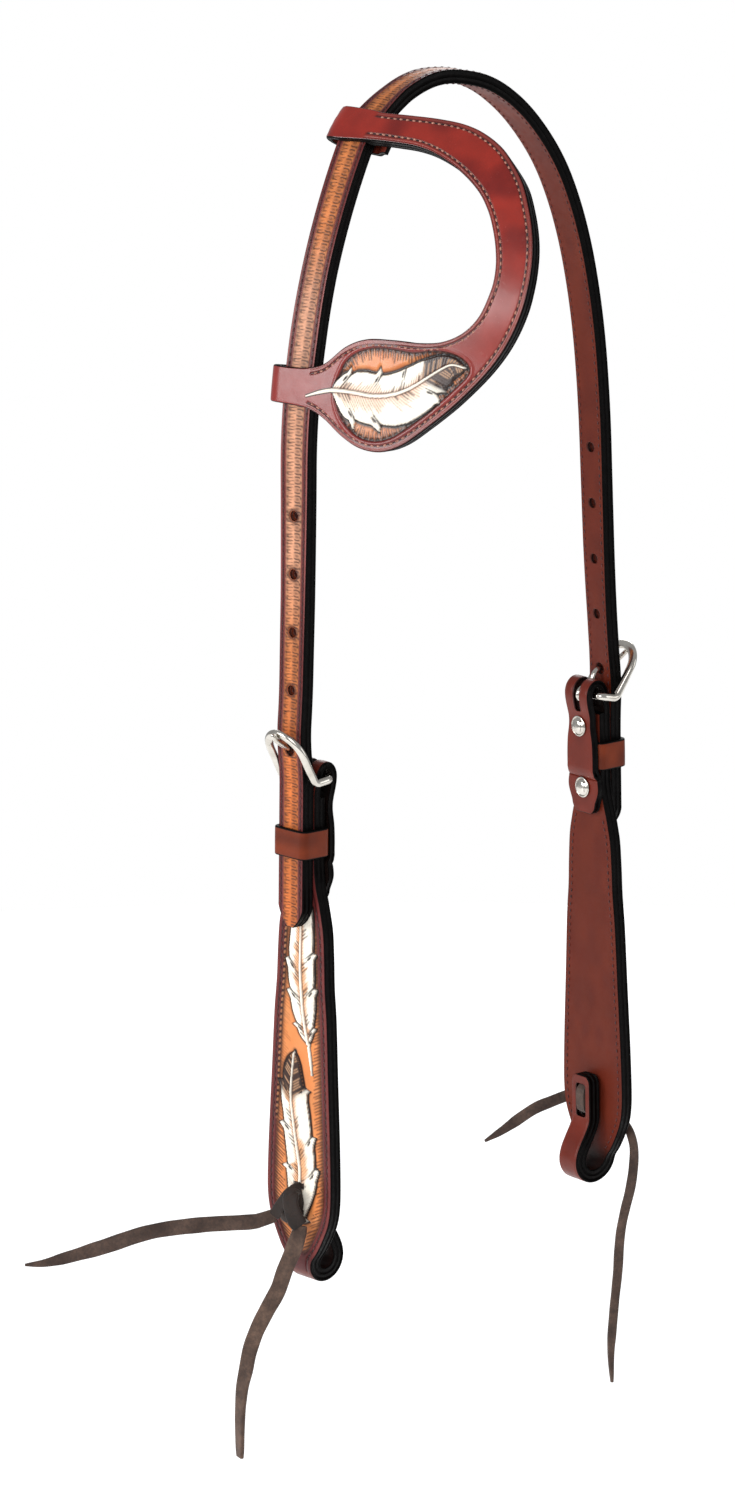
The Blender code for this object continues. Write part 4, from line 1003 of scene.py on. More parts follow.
def crown_paint(s, v, d):
    a = np.abs(s)
    # the paler, pinker middle of the strap, from about 85 to 275 mm, is painted sheen
    warm = ramp(a, 85, 125) * (1 - ramp(a, 225, 275))
    base = mix(lin(208, 124, 70), lin(216, 154, 120), warm)
    base = mix(base, lin(206, 112, 54), ramp(a, 262, 320))
    base = base * (0.88 + 0.24 * value_noise(s / 3.3, v / 2.4, 2.0))[..., None]
    dark, _ = crown_marks(s, v)
    base = mix(base, lin(30, 20, 22), dark)
    border = mix(MAHOGANY, MAHOGANY_DARK, 0.7 * value_noise(s / 1.3, v / 0.8, 8.0))
    # painted pink highlight on the outer margins, only where the painted sheen falls
    border = mix(border, lin(164, 98, 94), 0.6 * ramp(np.abs(v), 6.5, 6.9) * warm)
    # painted highlight along the crest between the band's crease and the stitch row
    border = mix(border, lin(150, 82, 74), 0.5 * soft_line(np.abs(v) - 5.0, 0.28))
    border = mix(border, lin(28, 10, 12), 0.8 * soft_line(np.abs(v) - STITCH_V, 0.6))
    border = mix(border, INK, 0.5 * soft_line(np.abs(v) - BAND - 0.2, 0.25))
    col = mix(base, border, ramp(np.abs(v), BAND - 0.1, BAND + 0.22))
    # stain that pooled round the punched holes
    for sg, used in ((-1, NEAR_TONGUE_HOLE), (1, FAR_TONGUE_HOLE)):
        k = np.clip(np.round((used - sg * s) / HOLE_PITCH), 0, HOLE_COUNT - 1)
        r = np.hypot(sg * s - (used - k * HOLE_PITCH), v)
        col = mix(col, lin(66, 32, 22), 0.85 * (1 - ramp(r, 2.6, 4.1)))
        col = mix(col, lin(168, 78, 34), 0.85 * (1 - ramp(r, 2.2, 2.5)))
    col = mix(col, INK, 0.75 * ramp(0.55 - d, 0.0, 0.25) * (d >= 0) * (np.abs(v) > 5))
    flesh = mix(LINING_C, MAHOGANY_DARK, 0.3)
    col = np.where((d < -0.5)[..., None], flesh, col)
    mask = np.zeros(col.shape)
    mask[..., 1] = ramp(np.abs(v), BAND, BAND + 0.3)
    return col, mask


def lining_paint(x, y, d):
    n = value_noise(x / 9.0, y / 5.0, 3.0)
    col = mix(LINING_C, lin(84, 28, 18), 0.8 * n)
    col = mix(col, INK, 0.6 * ramp(0.5 - d, 0.0, 0.25) * (d >= 0))
    mask = np.zeros(col.shape)
    mask[..., 1] = 0.4
    return col, mask


def cheek_lining_fold_shadow_paint(l, v, d):
    """As the other linings, but the inside of the fold is painted near black as shadow."""
    col, mask = lining_paint(l, v, d)
    fold = CHEEK.span("fold")
    return mix(col, lin(22, 12, 10), 0.92 * ramp(l, fold[0] - 9, fold[0] + 1)), mask


def hole_rows(rows, holes):
    """Adds rows round each hole and says how far it is open at every row."""
    extra = []
    for centre, half, wide, corner in holes:
        a = np.linspace(0, math.pi / 2, 7)
        edge = half - corner + corner * np.sin(a)
        extra += list(centre + edge) + list(centre - edge) + [centre - half - 0.25, centre + half + 0.25]
        if half > corner:
            extra += list(np.arange(centre - half + corner, centre + half - corner, 0.7))
    keep = rows
    for centre, half, wide, corner in holes:
        keep = keep[np.abs(keep - centre) > half + 0.3]
    rows = np.unique(np.round(np.concatenate([keep, extra]), 4))
    gap = np.zeros(len(rows))
    for centre, half, wide, corner in holes:
        dx = half - np.abs(rows - centre)
        c = np.clip(corner - dx, 0, corner)
        g = np.where(dx > 1e-4, wide - corner + np.sqrt(np.maximum(corner ** 2 - c ** 2, 0)), 0)
        gap = np.maximum(gap, np.where(dx > 1e-4, g, 0))
    return rows, gap


def strap_half(s):
    """Half-width of the crown strap, with its pointed ends."""
    w = np.full(s.shape, HALF)
    shape = smooth_line([(-11.5, 1.0), (-9.0, 0.985), (-5.6, 0.80), (-2.4, 0.47), (-0.5, 0.16)], 8)
    for tip, sg in ((NEAR_TIP, -1), (FAR_TIP, 1)):
        d = sg * s - tip
        w = np.where(d > -11.5, HALF * np.interp(d, shape[:, 0], shape[:, 1]), w)
    return w


def build_crown():
    ends = (-NEAR_TIP + 0.5, FAR_TIP - 0.5)
    dense = np.arange(ends[0] + 1.2, ends[1] - 1.2, 0.4)
    tips = np.array([0, 0.1, 0.22, 0.4, 0.62, 0.9])
    rows = np.concatenate([ends[0] + tips, dense, ends[1] - tips])
    holes = []
    for sg, used in ((-1, NEAR_TONGUE_HOLE), (1, FAR_TONGUE_HOLE)):
        for k in range(HOLE_COUNT):
            r = HOLE_R if k else TONGUE_HOLE_R
            holes.append((sg * (used - k * HOLE_PITCH), r, r, r))
    fine, gap = hole_rows(rows, holes)

    def layer(name, rows, gap, h0, h1, cols, relief, painter, mats, **kw):
        w = strap_half(rows)
        end = np.minimum(rows - rows[0], rows[-1] - rows)
        left, right = np.stack([rows, -w], 1), np.stack([rows, w], 1)
        return ribbon(name, left, right, on_strap_glued, h0, h1, cols, gap, end, relief, painter, mats, **kw)

    ob = layer("crown_outer_leather", fine, gap, OUT0, OUT1, 12, crown_relief, crown_paint, [TOOLED, EDGE])
    finish_piece(ob, "headstall", ["crown_outer"])
    coarse = np.concatenate([ends[0] + tips, np.arange(ends[0] + 1.5, ends[1] - 1.5, 1.9), ends[1] - tips])
    rows2, gap2 = hole_rows(coarse, holes)
    w = strap_half(rows2)
    end = np.minimum(rows2 - rows2[0], rows2[-1] - rows2)
    # the lining's visible face is the underside, so its offsets are turned over
    flipped = lambda x, y, h: on_strap_glued(x, y, -np.asarray(h))
    ob = ribbon("crown_lining_leather", np.stack([rows2, -w], 1), np.stack([rows2, w], 1), flipped,
                -LIN1, -LIN0, 6, gap2, end, None, lining_paint, [BACKING, EDGE], rnd=0.5)
    finish_piece(ob, "headstall", ["crown_lining"])
    # two rows of stitches on the face, and where they come through the lining
    s = np.arange(-NEAR_TIP + 9.5, FAR_TIP - 9.5, 2.0)
    runs = []
    for sg in (-1, 1):
        runs.append((np.stack([s, np.full(len(s), STITCH_V * sg)], 1), OUT1 - 0.02))
    stitches("crown_stitches", runs, on_strap_glued, [BROWN, HOLE_SHADOW], "headstall", "crown_outer",
             pitch=3.4, length=1.9, radius=0.44, sink=0.48, hole=0.74)
    runs = [(r[0], -LIN0 - 0.0) for r in runs]
    stitches("crown_back_stitches", runs, flipped, [BROWN, HOLE_SHADOW], "headstall", "crown_lining",
             pitch=3.4, length=2.2, radius=0.30, sink=0.16, hole=0)


build_crown()

# ------------------------------------------------------------------- feathers


class Feather:
    """A carved feather: quill, two vanes with split barbs, and a dark tip.

    left, right: widths of the vanes by length along the quill.  cuts: notches
    between barbs as (side, length, ink).  ticks: groups of short knife cuts
    beside the quill as (side, length, number).
    """

    def __init__(self, quill, left, right, cuts, ticks, dark, seed, warmth=0.75):
        self.quill = smooth_line(quill, 6)
        self.length = arc_lengths(self.quill)[-1]
        self.left, self.right = np.array(left, float), np.array(right, float)
        self.start, self.stop = self.left[0, 0], self.left[-1, 0]
        self.cuts, self.ticks, self.dark, self.seed, self.warmth = cuts, ticks, dark, seed, warmth

    def parts(self, x, y):
        shape = x.shape
        px, py = x.ravel(), y.ravel()
        dist = np.full(px.shape, 99.0)
        where = np.zeros(px.shape)
        side = np.ones(px.shape)
        lo, hi = self.quill.min(0) - 26, self.quill.max(0) + 26
        near_by = (px > lo[0]) & (px < hi[0]) & (py > lo[1]) & (py < hi[1])
        if near_by.any():
            d, w, s = to_segments(px[near_by], py[near_by], self.quill)
            dist[near_by], where[near_by], side[near_by] = d, w, s
        side = np.where(side == 0, 1, side)
        # barbs leave the quill slanting towards the tip
        slant = where - 0.75 * dist
        on = (where > self.start) & (where < self.stop)
        width = np.where(side > 0, np.interp(where, self.left[:, 0], self.left[:, 1]),
                         np.interp(where, self.right[:, 0], self.right[:, 1]))
        width = np.where(on, width, 0.0)
        cut, oval, tick = np.zeros(px.shape), np.zeros(px.shape), np.zeros(px.shape)
        for sd, at, ink in self.cuts:
            tab = self.left if sd > 0 else self.right
            wide = float(np.interp(at + 0.7, tab[:, 0], tab[:, 1]))
            at_slant = at + 0.5 - 0.75 * wide
            e = np.clip(wide - dist, 0, 4.6)
            line = soft_line(slant - at_slant, 0.46 * (1 - e / 4.6) + 0.14) * (dist > wide - 4.6)
            cut = np.maximum(cut, np.where(side == sd, line * ink, 0))
            blot = np.hypot((slant - at_slant + 1.35) / 0.62, (dist - wide + 1.9) / 1.35)
            oval = np.maximum(oval, np.where(side == sd, (1 - ramp(blot, 0.8, 1.15)) * ink, 0))
        for sd, at, number in self.ticks:
            for k in range(number):
                reach = 3.0 + 2.0 * float(hash01(at + k * 3.1, self.seed))
                line = soft_line(slant - at - 1.7 * k, 0.52 * (1 - 0.6 * np.clip(dist / 5.2, 0, 1)))
                line = line * ramp(dist, 0.55, 0.9) * ramp(reach - dist, 0, 0.5)
                tick = np.maximum(tick, np.where(side == sd, line, 0))
        edge = width - dist
        body = ramp(edge, -0.12, 0.22) * on
        shaft = self.shaft_width(where)
        quill = ramp(shaft - dist, -0.14, 0.14) * (where > 0.2) * (where < self.length - 0.2)
        out = dict(dist=dist, where=where, side=side, edge=edge, body=body, quill=quill, cut=cut, oval=oval,
                   tick=tick, slant=slant, width=np.maximum(width, 0.1), shaft=shaft,
                   along=(where > self.start - 0.8) & (where < self.stop + 0.8))
        return {k: v.reshape(shape) for k, v in out.items()}

    def shaft_width(self, where):
        share = where / self.length
        return 0.62 * (0.35 + 0.65 * ramp(share, 0.0, 0.12)) * (1 - 0.55 * ramp(share, 0.45, 1.0)) + 0.08

    def relief(self, p):
        dome = 0.26 * p["body"] * (1 - 0.6 * (p["dist"] / p["width"]) ** 2)
        barb = 0.06 * p["body"] * np.sin(p["slant"] / 1.35 * 2 * math.pi)
        sink = -0.42 * ramp(p["edge"], -3.2, -0.1) * (1 - p["body"]) * p["along"]
        quill = 0.55 * np.sqrt(np.clip(1 - (p["dist"] / (p["shaft"] + 0.12)) ** 2, 0, 1)) * p["quill"]
        groove = -0.18 * soft_line(p["dist"] - p["shaft"] - 0.25, 0.22) * p["body"]
        return (dome + barb + sink + quill + groove
                - (0.34 * p["cut"] + 0.2 * p["oval"] + 0.2 * p["tick"]) * p["body"])

    def paint(self, col, p):
        e = np.clip(p["dist"] / p["width"], 0, 1)
        k = np.floor(p["slant"] / 1.35 + 500)
        f = p["slant"] / 1.35 + 500 - k - 0.5
        rnd = hash01(k + 37 * (p["side"] > 0), self.seed)
        vane = mix(CREAM, lin(238, 226, 210), 0.6 * value_noise(p["where"] / 3.0, p["dist"] / 2.0, self.seed))
        # warm shading strokes that start at the quill
        reach = 0.22 + 0.26 * rnd
        patch = 0.30 + 0.70 * ramp(value_noise(p["where"] / 9.0, 4.0 + p["side"], self.seed + 5), 0.25, 0.6)
        wash = ramp(reach * patch + 0.10 - e, -0.16, 0.16)
        vane = mix(vane, ORANGE, self.warmth * wash)
        vane = mix(vane, lin(206, 112, 44), 0.45 * ramp(0.16 - e, -0.05, 0.12) * patch)
        vane = mix(vane, lin(112, 56, 30), 0.8 * soft_line(f, 0.17) * ramp(reach * patch + 0.20 - e, -0.08, 0.12))
        vane = mix(vane, lin(140, 100, 76), 0.35 * soft_line(f, 0.15) * ramp(e, 0.5, 0.8) * (rnd > 0.5))
        # dark tip with pale strokes
        a, b = self.dark
        tip = ramp(p["slant"] + 1.6 * (rnd - 0.5), a, b)
        strokes = soft_line(f, 0.24) * (rnd > 0.30) * ramp(e, 0.06, 0.2) * ramp(0.62 + 0.3 * rnd - e, 0, 0.14)
        ink = mix(lin(58, 38, 32), lin(206, 160, 122), 0.85 * strokes)
        ink = mix(ink, lin(38, 26, 24), 0.8 * ramp(e, 0.66, 0.92))
        vane = mix(vane, ink, tip)
        vane = mix(vane, lin(34, 17, 13), 0.98 * p["tick"] * (1 - tip))
        vane = mix(vane, INK, np.clip(p["cut"] * 1.3, 0, 1))
        vane = mix(vane, lin(40, 28, 27), np.clip(p["oval"] * 1.15, 0, 1))
        vane = mix(vane, lin(70, 36, 22), 0.9 * soft_line(p["dist"] - p["shaft"] - 0.26, 0.28))
        vane = mix(vane, lin(34, 22, 20), 0.9 * ramp(0.42 - p["edge"], 0.0, 0.34))
        out = (1 - p["body"]) * p["along"]
        # painted shadow: a brown halo round the vanes, outside their black outline
        col = mix(col, lin(80, 40, 26), 0.7 * ramp(p["edge"], -2.4, -0.5) * out)
        col = mix(col, lin(14, 9, 9), 0.98 * ramp(p["edge"], -1.45, -0.85) * out)
        col = mix(col, vane, p["body"])
        bare = (1 - p["body"]) * (p["where"] > 0.1) * (p["where"] < self.length - 0.1)
        col = mix(col, lin(28, 18, 16), 0.9 * ramp(p["shaft"] + 0.62 - p["dist"], 0, 0.3) * bare)
        return mix(col, mix(CREAM, lin(206, 184, 156), 0.35 * ramp(p["dist"] / p["shaft"], 0.4, 1.0)), p["quill"])


# ------------------------------------------------------------------ ear piece
EAR_FEATHER = Feather(
    [(158.2, 7.8), (155.5, 15.6), (153.8, 23), (153.4, 34), (153.6, 42), (152.6, 50), (150.2, 57.5),
     (146.6, 64), (142.2, 70), (138.2, 75.5), (135.2, 81), (135.6, 87.8)],
    [(15.0, 0.2), (16.2, 2.6), (17.5, 4.4), (20.3, 7.0), (22.4, 8.2), (23.6, 10.2), (24.2, 7.2), (27, 8.8),
     (31.4, 9.6), (37.6, 9.2), (40.6, 11.8), (41.3, 8.7), (45, 8.7), (49, 8.8), (56.7, 8.8), (64.4, 8.0),
     (68.4, 7.2), (74.8, 5.6), (79.2, 3.2), (83.2, 1.4), (85.2, 0.3)],
    [(15.0, 0.2), (16.2, 3.0), (17.4, 5.3), (20.1, 8.8), (22.5, 11.0), (25.0, 11.8), (27.8, 15.6), (28.5, 11.0),
     (31.4, 11.6), (36.0, 12.2), (39.6, 15.2), (40.3, 12.0), (45.4, 13.2), (50.8, 13.4), (55.3, 12.8),
     (60.7, 12.2), (63.4, 11.6), (65.6, 12.4), (66.3, 8.0), (68.5, 8.8), (71.0, 10.2), (71.7, 7.8), (74, 7.8),
     (80, 6.2), (83.6, 3.4), (85.2, 0.3)],
    [(1, 23.6, 0.9), (1, 40.6, 1.0), (1, 57.0, 0.8), (-1, 27.8, 1.0), (-1, 39.6, 1.0), (-1, 65.6, 1.0),
     (-1, 71.0, 0.9)],
    [(1, 18.5, 3), (1, 46.0, 1), (1, 50.0, 2), (1, 60.5, 1), (-1, 17.6, 4), (-1, 47.0, 1), (-1, 50.5, 3)],
    (60.5, 64.0), 3.0, 0.36)
PANEL = smooth_line([(147.5, 24.6), (141.2, 27.4), (136.3, 33.2), (133.6, 41.4), (132.8, 51.2), (132.9, 61.0),
                     (130.9, 69.5), (130.2, 78), (132.2, 86.4), (137.4, 89.6), (146.4, 82.6), (153.2, 76.0),
                     (159.4, 69.4), (165.4, 61.8), (170.1, 54.4), (172.4, 46.7), (172.0, 39.2),
                     (169.4, 33.2), (165, 28.0), (159.2, 24.6), (152.5, 23.4)], 3)


def ear_panel(s, q):
    px, py = s.ravel(), q.ravel()
    d = np.full(px.shape, -9.0)
    w = np.zeros(px.shape)
    box = (px > 118) & (px < 184) & (py > 12) & (py < 102)
    if box.any():
        loop = np.vstack([PANEL, PANEL[:1]])
        dist, where, _ = to_segments(px[box], py[box], loop)
        d[box] = np.where(inside(px[box], py[box], PANEL), dist, -dist)
        w[box] = where
    return d.reshape(s.shape), w.reshape(s.shape)


def panel_lines(w, d, seed=0.0, pitch=1.35, lo=3.4, hi=6.4):
    """Beveller strokes that run in from a border, wide there and thin at the end."""
    k = np.floor(w / pitch)
    f = w / pitch - k - 0.5 + 0.42 * (hash01(k, seed) - 0.5)
    reach = lo + (hi - lo) * hash01(k, seed + 1)
    thick = (0.50 + 0.12 * hash01(k, seed + 2)) * np.clip(1 - 0.6 * d / reach, 0.3, 1)
    line = soft_line(f * pitch, thick) * ramp(reach - d, -0.2, 0.9) * ramp(d, -0.1, 0.15)
    return line


def border_stops(w, d, pitch=3.3, size=1.15):
    """Round-nosed stops struck side by side against a border."""
    dw = w - (np.floor(w / pitch) + 0.5) * pitch
    return (1 - ramp(np.hypot(dw / size, (d - 0.1) / (size * 1.15)), 0.7, 1.1)) * ramp(d, -0.15, 0.1)


def ear_relief(s, q, d):
    pd, pw = ear_panel(s, q)
    p = EAR_FEATHER.parts(s, q)
    ground = (-0.30 * ramp(pd, -0.1, 0.5) - 0.14 * panel_lines(pw, pd) * ramp(pd, 0, 0.3)
              - 0.16 * border_stops(pw, pd))
    carve = EAR_FEATHER.relief(p)
    flat = (1 - p["body"]) * (1 - p["quill"])
    crease = -0.30 * soft_line(pd + 0.05, 0.30) * flat
    bead = 0.16 * soft_line(pd + 1.25, 0.6) * flat * (pd < 0)
    channel = -0.24 * soft_line(d - 2.7, 0.5) * (q > 9)
    margin = -0.12 * soft_line(d - 1.05, 0.24) * (q > 9)
    out_of = ramp(pd, -0.4, 0.4)
    return (ground * flat + carve * np.maximum(out_of, np.maximum(p["quill"], p["body"])) + crease + bead
            + channel + margin)


def ear_paint(s, q, d):
    n1 = value_noise(s / 11.0, q / 11.0, 1.0)
    n2 = value_noise(s / 3.2, q / 3.2, 6.0)
    base = mix(RED_BROWN, RED_DEEP, 0.75 * ramp(n1, 0.2, 0.8) + 0.12 * n2)
    # the band over the top is redder; the right arm and the paddle get a browner, pinker tone that is painted sheen
    base = mix(base, lin(140, 58, 52), 0.6 * ramp(s, 72, 110) * ramp(q, 40, 80))
    base = mix(base, lin(124, 48, 46), 0.6 * ramp(s, 128, 146))
    base = mix(base, lin(72, 18, 16), 0.55 * ramp(3.4 - d, 0, 2.6) * (q > 9) + 0.10 * n2)
    pd, pw = ear_panel(s, q)
    p = EAR_FEATHER.parts(s, q)
    tan = mix(TAN, TAN_DEEP, 0.8 * value_noise(s / 4.0, q / 4.0, 4.0))
    lines = panel_lines(pw, pd)
    ground = mix(tan, lin(44, 26, 22), 0.95 * lines)
    ground = mix(ground, lin(62, 30, 20), 0.85 * ramp(2.8 - pd, 0, 2.6))
    ground = mix(ground, lin(26, 14, 13), 0.85 * border_stops(pw, pd))
    on = ramp(pd, -0.15, 0.2)
    col = mix(base, ground, on)
    col = mix(col, INK, 0.7 * soft_line(pd + 0.05, 0.28))
    col = EAR_FEATHER.paint(col, p)
    thread_row = (q > 9.0) & (d >= 0)
    col = mix(col, lin(40, 12, 12), 0.85 * soft_line(d - 2.7, 0.62) * thread_row)
    # painted pink highlight along the rounded margin outside the stitch row
    col = mix(col, lin(176, 92, 82), 0.4 * soft_line(d - 1.35, 0.4) * thread_row)
    col = mix(col, INK, 0.8 * ramp(0.55 - d, 0.0, 0.25) * (d >= 0))
    col = np.where((d < -0.5)[..., None], mix(LINING_C, MAHOGANY_DARK, 0.3), col)
    mask = np.zeros(col.shape)
    mask[..., 1] = 1 - on
    return col, mask


def on_ear_loops(s, q, h):
    """As on_ear, with a little slack between the loops and the strap inside them."""
    q, h = np.asarray(q, float), np.asarray(h, float)
    slack = 0.32 * (1 - ramp(q, 7.6, 11.0)) * np.clip((OUT1 - h) / (OUT1 - OUT0), 0, 1)
    return on_ear(s, q, h + slack)


EAR_PAIRS = [(0, 0), (1, 1), (2, 2), (4, 3), (5, 4), (6, 5), (7, 6), (8.5, 7), (10, 8), (11.6, 9), (13, 10),
             (14, 11), (15, 12), (16, 13), (17.3, 14), (18.8, 15), (20, 16), (21.3, 17), (22.7, 18), (24, 19),
             (25.6, 20), (27, 20.8), (28, 21.4), (29, 22.1), (30, 23), (31, 24), (32, 25), (33, 26)]


def ear_rungs():
    """Matching points on both rims, from the end of the top band to that of the low one."""
    steps = 24
    outer, inner = smooth_line(EAR_OUTER_EDGE, steps), smooth_line(EAR_INNER_EDGE, steps)
    pairs = smooth_line(EAR_PAIRS, 24)
    k = np.arange(len(pairs))
    o = np.stack([np.interp(pairs[:, 0] * steps, np.arange(len(outer)), outer[:, j]) for j in (0, 1)], 1)
    i = np.stack([np.interp(pairs[:, 1] * steps, np.arange(len(inner)), inner[:, j]) for j in (0, 1)], 1)
    mid = (o + i) / 2
    l = arc_lengths(mid)
    # finer where the feather is carved
    want, at = [3.2], 3.2
    while at < l[-1]:
        q = np.interp(at, l, mid[:, 1])
        s = np.interp(at, l, mid[:, 0])
        fine = s > 118 and 5 < q < 98
        at += 0.40 if fine else 1.2
        want.append(min(at, l[-1]))
    want = np.unique(np.concatenate([want, [3.3, 3.42, 3.6, 3.82], l[-1] - np.array([0.1, 0.22, 0.4, 0.62])]))
    grab = lambda p: np.stack([np.interp(want, l, p[:, j]) for j in (0, 1)], 1)
    return grab(o), grab(i), want


def build_ear():
    o, i, at = ear_rungs()
    end = np.minimum(at - at[0], at[-1] - at)
    ob = ribbon("ear_outer_leather", o, i, on_ear_loops, OUT0, OUT1, 50, None, end, ear_relief, ear_paint,
                [SMOOTH, EDGE], rnd=0.75)
    finish_piece(ob, "ear_piece", ["ear_outer"])
    q0 = HALF + 0.8
    keep = np.nonzero(np.minimum(o[:, 1], i[:, 1]) >= q0)[0]
    keep = keep[::2]
    lo, li = o[keep], i[keep]
    la = at[keep]
    flipped = lambda x, y, h: on_ear(x, y, -np.asarray(h))
    ob = ribbon("ear_lining_leather", lo, li, flipped, -LIN1, -LIN0, 8, None,
                np.minimum(la - la[0], la[-1] - la) + 0.2, None, lining_paint, [BACKING, EDGE], rnd=0.5)
    finish_piece(ob, "ear_piece", ["ear_lining"])
    unit = (i - o) / np.linalg.norm(i - o, axis=1)[:, None]
    runs = []
    for rim, sg in ((o, 1), (i, -1)):
        tangent = np.gradient(rim, axis=0)
        tangent /= np.linalg.norm(tangent, axis=1)[:, None]
        normal = np.stack([-tangent[:, 1], tangent[:, 0]], 1)
        normal *= np.sign((normal * unit * sg).sum(1))[:, None]
        line = rim + normal * 2.7
        line = line[(line[:, 1] > 10.0)]
        runs.append((line, OUT1 - 0.03))
    stitches("ear_stitches", runs, on_ear, [BEIGE, HOLE_SHADOW], "ear_piece", "ear_outer", pitch=3.3,
             length=1.9, radius=0.5, sink=0.50, hole=0.80)
    runs = [(r[0], -LIN0) for r in runs]
    stitches("ear_back_stitches", runs, flipped, [BROWN, HOLE_SHADOW], "ear_piece", "ear_lining", pitch=3.4,
             length=2.3, radius=0.32, sink=0.16, hole=0)


build_ear()

# --------------------------------------------------------------------- cheeks
UPPER_FEATHER = Feather(
    [(132.0, 8.0), (127.2, 7.2), (120.3, 5.8), (112.1, 3.6), (103.9, 1.8), (94.2, 0.6), (85.0, -0.1),
     (76.4, 0.0), (68, 0.2), (56, 0.4)],
    [(13.8, 0.2), (16.5, 2.8), (19.3, 4.6), (21.6, 5.2), (23.6, 7.8), (24.2, 5.2), (28.6, 6.8), (34, 7.6),
     (37.6, 9.6), (38.3, 7.2), (42, 8.0), (47, 8.2), (50.6, 9.8), (51.3, 7.2), (55, 7.6), (59.3, 7.3),
     (63.6, 6.8), (70, 6.6), (76.8, 6.2)],
    [(13.8, 0.2), (16.0, 2.4), (18.0, 3.8), (20.4, 6.8), (21.1, 4.6), (26, 6.6), (30, 7.6), (35.6, 8.2),
     (38.8, 10.0), (39.5, 7.6), (44, 8.4), (49, 8.4), (53, 8.2), (55.4, 9.8), (56.1, 7.4), (60, 7.4),
     (66, 7.1), (70, 6.9), (76.8, 6.2)],
    [(1, 23.6, 1.0), (1, 37.6, 1.0), (1, 50.6, 1.0), (-1, 20.4, 1.0), (-1, 38.8, 1.0), (-1, 55.4, 1.0)],
    [(1, 17.0, 3), (1, 30.0, 3), (1, 41.0, 3), (1, 54.0, 3), (-1, 21.5, 3), (-1, 33.0, 3), (-1, 45.0, 3), (-1, 60.0, 3)],
    (300.0, 301.0), 11.0)
LOWER_FEATHER = Feather(
    [(211.5, -5.4), (206, -3.9), (201.4, -2.6), (192, -0.4), (184, 0.6), (176.2, 0.8), (168.6, -0.7),
     (159.8, -2.7), (150.0, -4.6), (142.5, -5.5), (134, -4.9), (128, -4.2), (123.2, -3.6)],
    [(11.0, 0.4), (14.5, 4.6), (18, 5.8), (21.3, 6.4), (25.4, 7.4), (31.8, 8.6), (35.6, 9.2), (38.8, 11.6),
     (39.6, 7.8), (43.6, 7.6), (51.3, 7.2), (54.6, 7.2), (57.6, 9.6), (58.4, 6.3), (62, 6.2), (66.1, 6.5),
     (71.6, 6.6), (74.6, 8.6), (75.3, 5.6), (77.8, 5.9), (82, 5.6), (85.6, 4.2), (88.0, 2.2), (89.4, 0.3)],
    [(11.0, 0.4), (13, 4.8), (15.6, 8.0), (16.3, 5.2), (20, 6.2), (23.1, 7.4), (28.6, 9.2), (33.6, 10.0),
     (36.8, 12.0), (37.6, 9.2), (42, 10.0), (46.5, 10.4), (50.0, 12.6), (50.8, 9.8), (55, 10.2), (60.8, 10.4),
     (68, 10.0), (72.6, 10.2), (74.6, 11.6), (75.4, 7.6), (78, 6.6), (81.2, 5.4), (85.0, 3.8), (88.0, 1.8),
     (89.4, 0.3)],
    [(1, 38.8, 1.0), (1, 57.6, 1.0), (1, 74.6, 0.8), (-1, 15.6, 0.9), (-1, 36.8, 1.0), (-1, 50.0, 1.0),
     (-1, 74.6, 1.0)],
    [(1, 22.0, 3), (1, 33.0, 3), (1, 46.0, 3), (1, 57.0, 3), (-1, 27.0, 3), (-1, 40.0, 3), (-1, 54.0, 3)],
    (65.0, 69.0), 17.0)


def build_half():
    """Knots of the cheek's half-width along the whole path."""
    c = CHEEK
    knots = []
    start = c.station("start", 55.0)
    for k in range(9):
        a = math.radians(90 * k / 8)
        knots.append((start + 5.0 * (1 - math.cos(a)), 3.2 + 5.0 * math.sin(a)))
    body = [(start + 5.0, 8.2)] + [(c.station("start", b), w) for b, w in CHAPE_HALF]
    body += [(c.span("roll")[0], 8.0), (c.span("roll")[1], 8.0)]
    body += [(c.station("front", b), w) for b, w in CHEEK_HALF[1:]]
    fold = c.span("fold")
    body += [(fold[0] + 6, 7.0), (fold[0] + 11, 6.4), (fold[1], 6.3),
             (c.station("tab", 205), 6.3), (c.station("tab", 190), 6.3)]
    body += [(c.span("tab")[1] - 4.0, 6.3)]
    knots += [tuple(p) for p in smooth_line(body, 6)[1:]]
    end = c.span("tab")[1]
    for k in range(1, 9):
        a = math.radians(90 - 90 * k / 8)
        knots.append((end - 4.0 * (1 - math.cos(a)), 2.3 + 4.0 * math.sin(a)))
    return np.array(knots)


HALF_KNOTS = build_half()
FRONT_SPAN = CHEEK.span("front")
FOLD_SPAN = CHEEK.span("fold")


def cheek_half(l):
    return np.interp(l, HALF_KNOTS[:, 0], HALF_KNOTS[:, 1])


BORDER = 4.9


def cheek_zone(l, v):
    """Share of the tooled panel, distance inside it, and length below the bar."""
    below = CHEEK.below(l)
    front = (l > FRONT_SPAN[0]) & (l < FOLD_SPAN[0] + 4)
    w = cheek_half(l)
    slope = np.gradient(HALF_KNOTS[:, 1], HALF_KNOTS[:, 0])
    lean = np.interp(l, HALF_KNOTS[:, 0], slope)
    rim = (w - np.abs(v)) / np.sqrt(1 + np.clip(lean, -3, 3) ** 2)
    inner = rim - BORDER
    low = (213.5 - below) * 0.9
    inner = np.minimum(inner, low)
    return front, rim, inner, below


